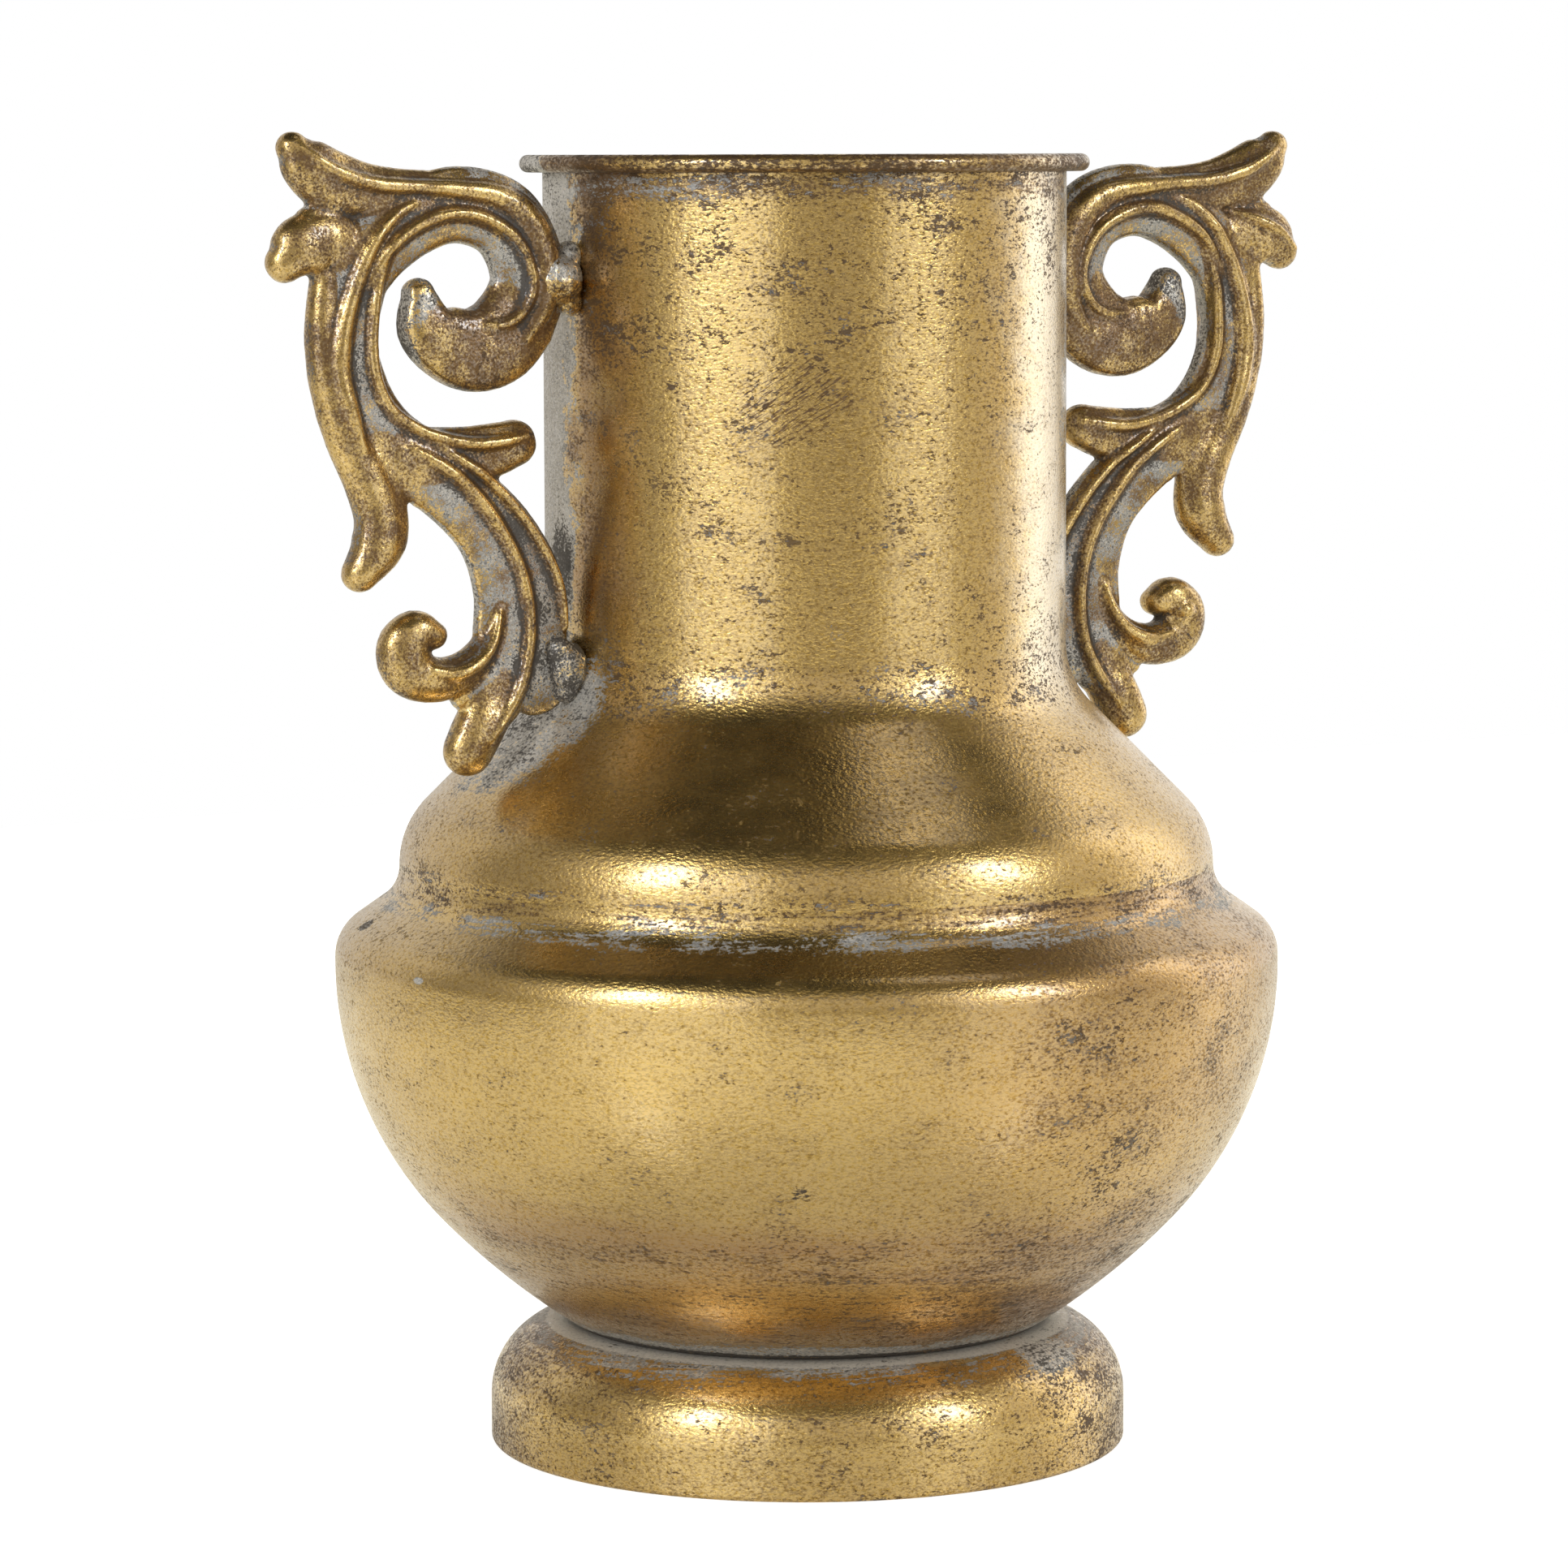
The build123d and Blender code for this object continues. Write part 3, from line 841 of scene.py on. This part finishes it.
def gilt_material(name, masks, peel_depth=sheet_peel, is_cast=False):
    """Gilt finish whose flecks, stains, bare primer, dirt and painted shade follow the masks of one piece.
    """
    material, tree, shader = new_material(name)
    place = tree.nodes.new("ShaderNodeTexCoord").outputs
    where = tree.nodes.new("ShaderNodeGroup")
    where.node_tree = round_group
    tree.links.new(place["Object"], where.inputs["Place"])
    gilt = tree.nodes.new("ShaderNodeGroup")
    gilt.node_tree = gilt_group
    grain = place["Object"] if is_cast else where.outputs["Grain"]
    fill(tree, gilt, {"Place": grain, "Streak": where.outputs["Streak"]})
    fill(tree, gilt, masks(tree, where.outputs, place))
    relief = tree.nodes.new("ShaderNodeBump")
    fill(tree, relief, {"Distance": peel_depth * MM, "Height": gilt.outputs["Height"]})
    finish = {
        "Base Color": gilt.outputs["Color"],
        "Metallic": gilt.outputs["Metallic"],
        "Roughness": gilt.outputs["Roughness"],
        "Coat Weight": gilt.outputs["Varnish"],
        "Coat Roughness": varnish_roughness,
        "Coat IOR": varnish_index,
        "Normal": relief.outputs["Normal"],
    }
    fill(tree, shader, finish)
    return material


def band(tree, value, low, high, soft):
    """One between two heights or bearings, with soft edges."""
    rise = fade(tree, value, low - soft, low + soft)
    return times(tree, rise, fade(tree, value, high + soft, high - soft))


def spot(tree, where, facing, height, half_facing, half_height):
    """Soft oval mark at a bearing and height on the body."""
    across = offset(tree, where["Facing"], facing, half_facing)
    up = offset(tree, where["Height"], height, half_height)
    return fade(tree, square_sum(tree, across, up), 1.0, 0.2)


def strokes(tree, where, turn, scale, draw=0.13):
    """Fine side-by-side scratches on the body, running up to the right at a turn from level."""
    level, rise = cos(radians(turn)), sin(radians(turn))
    around = times(tree, where["Facing"], radians(1) * neck_radius * MM)
    up = times(tree, where["Height"], MM)
    lengthwise = total(tree, (level, around), (rise, up))
    sideways = total(tree, (-rise, around), (level, up))
    drawn = place_join(tree, times(tree, lengthwise, draw), sideways)
    return fade(tree, cloud(tree, drawn, scale, 2, 0.6), 0.3, 1.1)


def handle_smears(tree, where):
    """Bare patches on the body where each handle's foot is welded on."""
    left, right = [spot(tree, where, facing, 201, 26, 25) for facing in (-67, 113)]
    return calc(tree, "MAXIMUM", left, right)


def painted_highlight_edge(tree, bearing):
    """Painted highlight: pale gilt on the body at the front side of the right handle, where a reflection of
    the white backdrop is painted in.
    """
    return times(tree, fade(tree, bearing, 42, 64, 0.0, 0.75), fade(tree, bearing, 104, 84))


def neck_masks(tree, where, place):
    """Rubbed strips beside the handles with painted handle shade low down, a brown band, a scratched patch,
    the rim with painted shade on its bead, and a painted highlight on the right edge.
    """
    height = where["Height"]
    facing = where["Facing"]
    above_seam = fade(tree, height, 216, 236)
    upper = fade(tree, height, 265, 325)
    low_edge = fade(tree, height, 216, 211)
    rim_foot = rim_top - rim_bead
    under_rim = band(tree, height, rim_foot - 7, rim_foot, 3)
    rim = fade(tree, height, rim_foot - 0.4, rim_foot + 0.2)
    off_bead = calc(tree, "ABSOLUTE", calc(tree, "SUBTRACT", height, rim_top - 2.2))
    # Painted shade: darker along the top and underside of the rim bead, over its brown tarnish
    rim_edges = times(tree, rim, fade(tree, off_bead, 0.5, 1.8))
    # Painted shade on the rim's right side, darkening it against the right key light's highlight
    right_rim = times(tree, rim, fade(tree, facing, -10, 30))
    ragged = total(tree, (1.0, facing), (2.0, cloud(tree, place["Object"], 75, 5, 0.7)))
    left_strip = times(tree, fade(tree, ragged, -57, -67), fade(tree, ragged, -106, -88))
    right_strip = times(tree, fade(tree, ragged, 72, 94), fade(tree, ragged, 134, 116))
    beside_handle = times(tree, calc(tree, "MAXIMUM", left_strip, right_strip), above_seam)
    high_strip = times(tree, beside_handle, fade(tree, height, 305, 340))
    # Painted shade: the strips darker below the handle, where its shadow falls
    shaded = times(tree, beside_handle, fade(tree, height, 262, 236))
    # Bare primer beside the lower handle, with painted handle shade over it
    low_strip = spot(tree, where, -67, 238, 8, 30)
    brown_band = times(tree, fade(tree, ragged, -63, -56), fade(tree, ragged, -36, -53), above_seam)
    brown_drift = fade(tree, cloud(tree, place["Object"], 32, 2, 0.5), -1.0, 1.2)
    right_cluster = spot(tree, where, 25, 334, 11, 9)
    dark_cluster = spot(tree, where, -21, 326, 9, 8)
    low_grey = spot(tree, where, 10, 226, 9, 5)
    side_grey = spot(tree, where, -15, 263, 5, 4)
    scratches = times(tree, spot(tree, where, -2, 286, 15, 14), strokes(tree, where, 33, 1700))
    smear = handle_smears(tree, where)
    return {
        "Flecks": total(
            tree, (0.24, 1.0), (0.42, upper), (0.5, dark_cluster), (0.45, right_cluster),
            (0.3, under_rim), (0.3, rim), (0.3, low_edge), (0.4, scratches),
        ),
        "Umber": total(
            tree, (1.1, scratches), (0.62, times(tree, brown_band, brown_drift)),
            (0.7, under_rim), (0.4, rim), (0.35, right_rim), (0.25, rim_edges), (0.2, low_edge),
        ),
        "Primer": total(
            tree, (-0.06, 1.0), (1.5, beside_handle), (0.7, low_strip), (0.45, under_rim),
            (0.45, low_grey), (0.45, side_grey), (1.3, smear), (0.2, low_edge),
        ),
        "Copper": total(tree, (0.06, 1.0), (0.85, brown_band)),
        # Painted highlight along the neck's right edge
        "Painted highlight": painted_highlight_edge(tree, ragged),
        "Brushed": total(tree, (0.3, 1.0), (-0.2, upper), (0.6, under_rim)),
        "Dirt and shade": total(
            tree, (0.05, rim), (0.2, rim_edges), (0.5, shaded), (0.34, high_strip),
            (0.48, low_strip), (0.5, smear),
        ),
    }


def shoulder_masks(tree, where, place):
    """The groove, the edge at the neck, the smears under the handles and a painted highlight on the right
    near the neck.
    """
    height = where["Height"]
    groove = fade(tree, height, 163, 158)
    seat = fade(tree, height, 158.5, 156.5)
    neck_edge = fade(tree, height, 200, 208)
    smear = handle_smears(tree, where)
    return {
        "Flecks": total(tree, (0.1, 1.0), (0.45, neck_edge), (0.4, groove)),
        "Umber": total(tree, (0.2, neck_edge), (0.25, groove)),
        "Primer": total(tree, (-0.1, 1.0), (0.26, groove), (1.3, smear), (0.24, neck_edge)),
        "Copper": 0.1,
        # Painted highlight on the shoulder's right side near the neck
        "Painted highlight": times(tree, painted_highlight_edge(tree, where["Facing"]), fade(tree, height, 192, 216)),
        "Brushed": total(tree, (0.1, 1.0), (1.0, groove), (0.6, smear)),
        "Dirt and shade": total(tree, (0.5, seat), (0.5, smear)),
    }


def bowl_masks(tree, where, place):
    """Chips in the groove, brown low down and on the right (low on the right partly painted shade), single
    marks, and a painted shadow line at the foot.
    """
    height = where["Height"]
    facing = where["Facing"]
    groove = fade(tree, height, 147, 151)
    groove_chips = band(tree, height, 147.8, 153.0, 1.4)
    drift = cloud(tree, where["Streak"], 60, 4, 0.6)
    low = fade(tree, total(tree, (1.0, height), (5.0, drift)), 84, 54)
    # Brown low on the right, partly painted shade that damps a reflected glint there
    low_right = times(tree, fade(tree, height, 82, 60), fade(tree, facing, 4, 34))
    belly_band = times(tree, band(tree, height, 62, 76, 8), band(tree, facing, -62, 12, 14))
    belly_patch = times(tree, belly_band, fade(tree, drift, -0.8, 1.0))
    right_side = band(tree, facing, 28, 75, 10)
    right_brown = times(
        tree,
        fade(tree, facing, 2, 34),
        fade(tree, facing, 100, 70),
        fade(tree, height, 80, 112, 0.5, 1.0),
    )
    foot_joint = fade(tree, height, 40, 36)
    # Painted shadow: a dark line where the bowl sits on the foot
    foot_gap_shadow = fade(tree, height, 35.6, 34.4)
    oval_mark = spot(tree, where, -0.8, 87, 1.8, 2.8)
    lip_chip = spot(tree, where, -76, 144.6, 2.4, 1.8)
    pale_chip = spot(tree, where, -52, 136.4, 1.4, 1.2)
    return {
        "Flecks": total(tree, (0.3, right_side), (0.3, groove), (0.2, low)),
        "Umber": total(
            tree, (-0.06, 1.0), (0.45, belly_patch), (0.2, low), (0.26, low_right),
            (0.3, right_brown), (0.3, groove), (0.4, oval_mark),
        ),
        "Primer": total(tree, (-0.1, 1.0), (0.64, groove_chips), (1.0, foot_joint), (1.2, pale_chip)),
        "Copper": total(tree, (0.03, 1.0), (0.6, low), (0.55, belly_band), (0.68, right_brown)),
        "Brushed": total(tree, (0.2, 1.0), (0.6, low), (0.8, groove)),
        "Dirt and shade": total(tree, (0.5, oval_mark), (0.9, lip_chip), (0.08, foot_joint), (0.9, foot_gap_shadow)),
    }


def foot_masks(tree, where, place):
    """The top, the sides, the joint under the bowl and a scuff."""
    height = where["Height"]
    joint = fade(tree, height, 32.5, 32.9)
    top = fade(tree, height, 24, 32)
    sides = fade(tree, calc(tree, "ABSOLUTE", where["Facing"]), 40, 72)
    smudge = spot(tree, where, 57, 30, 11, 5)
    return {
        "Flecks": total(tree, (0.26, 1.0), (0.45, sides), (0.15, top)),
        "Umber": total(tree, (0.42, top), (0.55, sides)),
        "Primer": total(tree, (-0.08, 1.0), (0.63, top), (1.7, joint), (0.5, smudge)),
        "Copper": total(tree, (0.05, 1.0), (0.1, top)),
        "Brushed": total(tree, (0.2, 1.0), (1.0, top)),
        "Dirt and shade": times(tree, smudge, 0.4),
    }


def inside_masks(tree, where, place):
    """Even, duller gilding inside the body."""
    return {"Flecks": 0.5, "Umber": 0.5, "Primer": 0.35, "Copper": 0.2, "Brushed": 0.6, "Dirt and shade": 0.1}


# Middle and half size of the handle's bulb, out and up, in metres
bulb_middle = (0.101, 0.300)
bulb_half = (0.020, 0.017)


def handle_masks(tree, where, place):
    """Hollows dark with brown patina and painted shade, gilded raised lines, bare side walls with painted
    shade, painted shade next to the neck, and a browned bulb.
    """
    hollow = point_value(tree, "hollow")
    normal_y = place_split(tree, place["Normal"])[1]
    # Side walls of the casting: bare primer, with painted shade on them
    side = fade(tree, calc(tree, "ABSOLUTE", normal_y), 0.72, 0.3)
    ungilded = fade(tree, point_value(tree, "off_gilding"), 0.4, 1.2)
    # Hollows: brown patina in them, with painted shade over it
    sunk = fade(tree, hollow, 0.0, 0.45)
    proud = fade(tree, hollow, -0.05, -0.45)
    place_x, _, place_z = place_split(tree, place["Object"])
    out = calc(tree, "ABSOLUTE", place_x)
    bulb_out = offset(tree, out, bulb_middle[0], bulb_half[0])
    from_bulb = square_sum(tree, bulb_out, offset(tree, place_z, bulb_middle[1], bulb_half[1]))
    browned = fade(tree, from_bulb, 1.3, 0.5)
    bulb_rim = times(tree, band(tree, from_bulb, 0.65, 1.7, 0.2), fade(tree, bulb_out, -0.1, 0.4))
    drift = cloud(tree, place["Object"], 150, 3, 0.5)
    # Painted shade on the handle next to the neck, where the neck shades it
    neck_shade = fade(tree, out, 0.095, 0.078)
    return {
        "Flecks": total(tree, (0.14, 1.0), (-0.1, proud), (0.3, browned)),
        "Umber": total(
            tree, (0.65, 1.0), (0.1, drift), (0.4, sunk), (0.1, ungilded), (-0.42, proud),
            (0.2, browned), (0.2, neck_shade),
        ),
        "Primer": total(
            tree, (-0.1, 1.0), (0.76, ungilded), (0.58, side), (0.25, sunk), (-0.4, proud),
            (1.1, bulb_rim),
        ),
        "Copper": 0.12,
        "Brushed": 0.0,
        "Dirt and shade": total(
            tree, (0.05, 1.0), (0.58, sunk), (0.06, browned), (0.16, ungilded), (0.2, side),
            (0.45, bulb_rim), (0.2, neck_shade),
        ),
    }


def weld_masks(tree, where, place):
    """Mostly bare metal, with one gilded drop."""
    height = where["Height"]
    gold_drop = band(tree, height, 309, 316.5, 1.5)
    return {
        "Flecks": 0.7,
        "Umber": 0.5,
        "Primer": total(tree, (0.85, 1.0), (-0.66, gold_drop)),
        "Copper": 0.1,
        "Brushed": 0.0,
        "Dirt and shade": total(tree, (0.34, 1.0), (-0.2, gold_drop), (0.3, fade(tree, height, 260, 230))),
    }


neck_gilt = gilt_material("neck gilt", neck_masks)
shoulder_gilt = gilt_material("shoulder gilt", shoulder_masks)
bowl_gilt = gilt_material("bowl gilt", bowl_masks)
foot_gilt = gilt_material("foot gilt", foot_masks)
inside_gilt = gilt_material("inside gilt", inside_masks)
handle_gilt = gilt_material("handle gilt", handle_masks, handle_peel, True)
weld_gilt = gilt_material("weld gilt", weld_masks, weld_peel, True)

bare_steel, steel_tree, steel_shader = new_material("bare weld steel")
fill(steel_tree, steel_shader, {"Base Color": steel_grey, "Metallic": 1.0, "Roughness": 0.45})


def dress(piece, materials, slot, *stands_for):
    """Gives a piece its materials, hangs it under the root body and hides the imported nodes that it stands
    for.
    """
    for material in materials:
        piece.data.materials.append(material)
    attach(piece, "root")
    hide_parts(*stands_for)


dress(neck, [neck_gilt, inside_gilt], "gilt_sheet", "neck")
dress(neck_weld, [neck_gilt, inside_gilt], "gilt_weld", "neck_seam_weld")
dress(shoulder, [shoulder_gilt, inside_gilt], "gilt_sheet", "shoulder")
dress(bowl, [bowl_gilt, inside_gilt], "gilt_sheet", "bowl")
dress(foot, [foot_gilt, inside_gilt], "gilt_sheet", "foot")
dress(left_handle, [handle_gilt], "gilt_casting", "left_handle")
dress(right_handle, [handle_gilt], "gilt_casting", "right_handle")
dress(left_upper_weld, [weld_gilt], "gilt_weld", "left_upper_weld")
dress(left_lower_weld, [weld_gilt], "gilt_weld", "left_lower_weld")
dress(right_upper_weld, [weld_gilt], "gilt_weld", "right_upper_weld")
dress(right_lower_weld, [weld_gilt], "gilt_weld", "right_lower_weld")
for name in ("rim_wire", "shoulder_seam_weld", "foot_tack_welds"):
    nodes[name].data.materials.clear()
    nodes[name].data.materials.append(bare_steel)

# Floor: near white to the camera, and a warm painted glow in the metal that stands in for the lit floor,
# with painted shade close to the vase
floor_half = 1.5
floor_grey = (0.8, 0.8, 0.8, 1)
floor_warm = (1.0, 0.96, 0.7, 1)
floor_base_glow = 0.06
floor_corners = [(x * floor_half, y * floor_half, 0) for x, y in ((-1, -1), (1, -1), (1, 1), (-1, 1))]
floor_mesh = bpy.data.meshes.new("studio_floor")
floor_mesh.from_pydata(floor_corners, [], [(0, 1, 2, 3)])
floor = add_object("studio_floor", floor_mesh)
floor_paint, floor_tree, floor_shader = new_material("white floor")
floor_path = floor_tree.nodes.new("ShaderNodeLightPath").outputs
floor_place = floor_tree.nodes.new("ShaderNodeTexCoord").outputs["Object"]
level_right = (cos(radians(front_turn)), sin(radians(front_turn)), 0)
beside_vase = calc(floor_tree, "ABSOLUTE", reach_along(floor_tree, floor_place, level_right))
length = add_node(floor_tree, "ShaderNodeVectorMath", floor_place)
length.operation = "LENGTH"
from_vase = length.outputs["Value"]
camera_glow = fade(floor_tree, from_vase, 0.12, 0.4, 0.7, 0.95)
# Painted shade: the glow in the metal weaker close to the vase
near_glow = fade(floor_tree, from_vase, 0.12, 0.42, 0.1, 0.42)
# Painted shade: the glow in the metal weaker far off
far_dim = fade(floor_tree, from_vase, 0.5, 1.0, 0.0, 0.24)
# Painted light: a brighter strip of glow in the metal on each side of the vase
side_glow = times(
    floor_tree, fade(floor_tree, beside_vase, 0.09, 0.16), fade(floor_tree, from_vase, 0.36, 0.22)
)
glossy_glow = total(floor_tree, (1.0, near_glow), (-1.0, far_dim), (0.19, side_glow))
floor_glow = total(
    floor_tree, (floor_base_glow, 1.0),
    (1.0, times(floor_tree, floor_path["Is Glossy Ray"], glossy_glow)),
    (1.0, times(floor_tree, floor_path["Is Camera Ray"], camera_glow)),
)
floor_finish = {
    "Base Color": floor_grey,
    "Roughness": 0.16,
    "IOR": 1.45,
    "Specular IOR Level": floor_path["Is Glossy Ray"],
    "Emission Color": blend(floor_tree, floor_path["Is Camera Ray"], floor_warm, white),
    "Emission Strength": floor_glow,
}
fill(floor_tree, floor_shader, floor_finish)
floor.data.materials.append(floor_paint)

# Studio: white to the camera, and soft walls, a dark ceiling and a white backdrop in the metal
wall_warm = (1.0, 0.92, 0.8, 1)
panel_way = (0.32, -0.01, 0.947)
panel_edge, panel_core = cos(radians(12.5)), cos(radians(5))
world = bpy.data.worlds.new("studio")
bpy.context.scene.world = world
world.use_nodes = True
sky = world.node_tree
background = sky.nodes["Background"]
sky_way = seen_from_front(sky, sky.nodes.new("ShaderNodeTexCoord").outputs["Generated"])
sky_across, sky_away, sky_up = place_split(sky, sky_way)
bearing = bearing_of(sky, sky_across, sky_away)
off_front = calc(sky, "ABSOLUTE", bearing)
backdrop = fade(sky, off_front, 96, 120)
right_wall = fade(sky, bearing, 60, 100)
right_window = band(sky, bearing, 108, 131, 8)
front_wall = fade(sky, off_front, 100, 50)
high_wall = times(sky, front_wall, fade(sky, sky_up, 0.0, 0.36))
left_dark = band(sky, bearing, -110, -70, 10)
below = fade(sky, sky_up, 0.82, 0.56)
below_sweep = fade(sky, sky_up, 0.76, 0.5)
wall = total(
    sky, (0.31, 1.0), (0.26, high_wall), (-0.05, left_dark), (0.37, right_wall),
    (1.3, right_window), (0.2, backdrop),
)
panel = fade(sky, reach_along(sky, sky_way, panel_way), panel_edge, panel_core)
studio = total(sky, (1.0, times(sky, wall, below)), (0.032, 1.0), (1.0, panel))
sky_path = sky.nodes.new("ShaderNodeLightPath").outputs
in_metal = times(
    sky, sky_path["Is Glossy Ray"], backdrop, below_sweep, fade(sky, bearing, -60, 60, 0.36, 0.46)
)
seen = calc(sky, "MAXIMUM", sky_path["Is Camera Ray"], sky_path["Is Transmission Ray"])
seen = calc(sky, "MAXIMUM", seen, in_metal)
sky_strength = fade(sky, seen, 0.0, 1.0, studio, 1.0)
fill(sky, background, {"Color": blend(sky, seen, wall_warm, white), "Strength": sky_strength})

lamp_white = (0.87, 0.92, 1.0)


def soft_box(name, turn, rise, distance, width, height, power):
    """Upright area lamp at a bearing from the camera's side, with its middle at a rise."""
    lamp = bpy.data.lights.new(name, "AREA")
    lamp.shape = "RECTANGLE"
    lamp.size = width
    lamp.size_y = height
    lamp.energy = power
    lamp.color = lamp_white
    holder = add_object(name, lamp)
    side = radians(front_turn + turn)
    holder.location = (sin(side) * distance, -cos(side) * distance, rise)
    holder.rotation_euler = (radians(90), 0, side)


soft_box("left soft box", turn=-34, rise=0.58, distance=1.3, width=1.0, height=1.1, power=3.35)
soft_box("right soft box", turn=50, rise=0.58, distance=1.3, width=0.7, height=1.1, power=1.85)
soft_box("left key light", turn=-42, rise=0.84, distance=1.2, width=0.26, height=0.6, power=4.3)
soft_box("right key light", turn=57, rise=0.84, distance=1.2, width=0.24, height=0.55, power=3.2)

# Camera
camera_distance = 1.60737
camera_height = 0.349316
camera_tilt = 6.0411
camera_pan = 0.2125
camera_roll = -0.167
camera_lens = 136.63
camera_sensor = 36
camera_data = bpy.data.cameras.new("camera")
camera_data.lens = camera_lens
camera_data.sensor_width = camera_sensor
camera = add_object("camera", camera_data)
camera_turn = radians(front_turn)
camera.location = (sin(camera_turn) * camera_distance, -cos(camera_turn) * camera_distance, camera_height)
aim_turn = Euler((radians(90 - camera_tilt), 0, camera_turn + radians(camera_pan))).to_matrix()
camera.rotation_euler = (aim_turn @ Euler((0, 0, radians(camera_roll))).to_matrix()).to_euler()
bpy.context.scene.camera = camera
bpy.context.scene.view_settings.view_transform = "Standard"
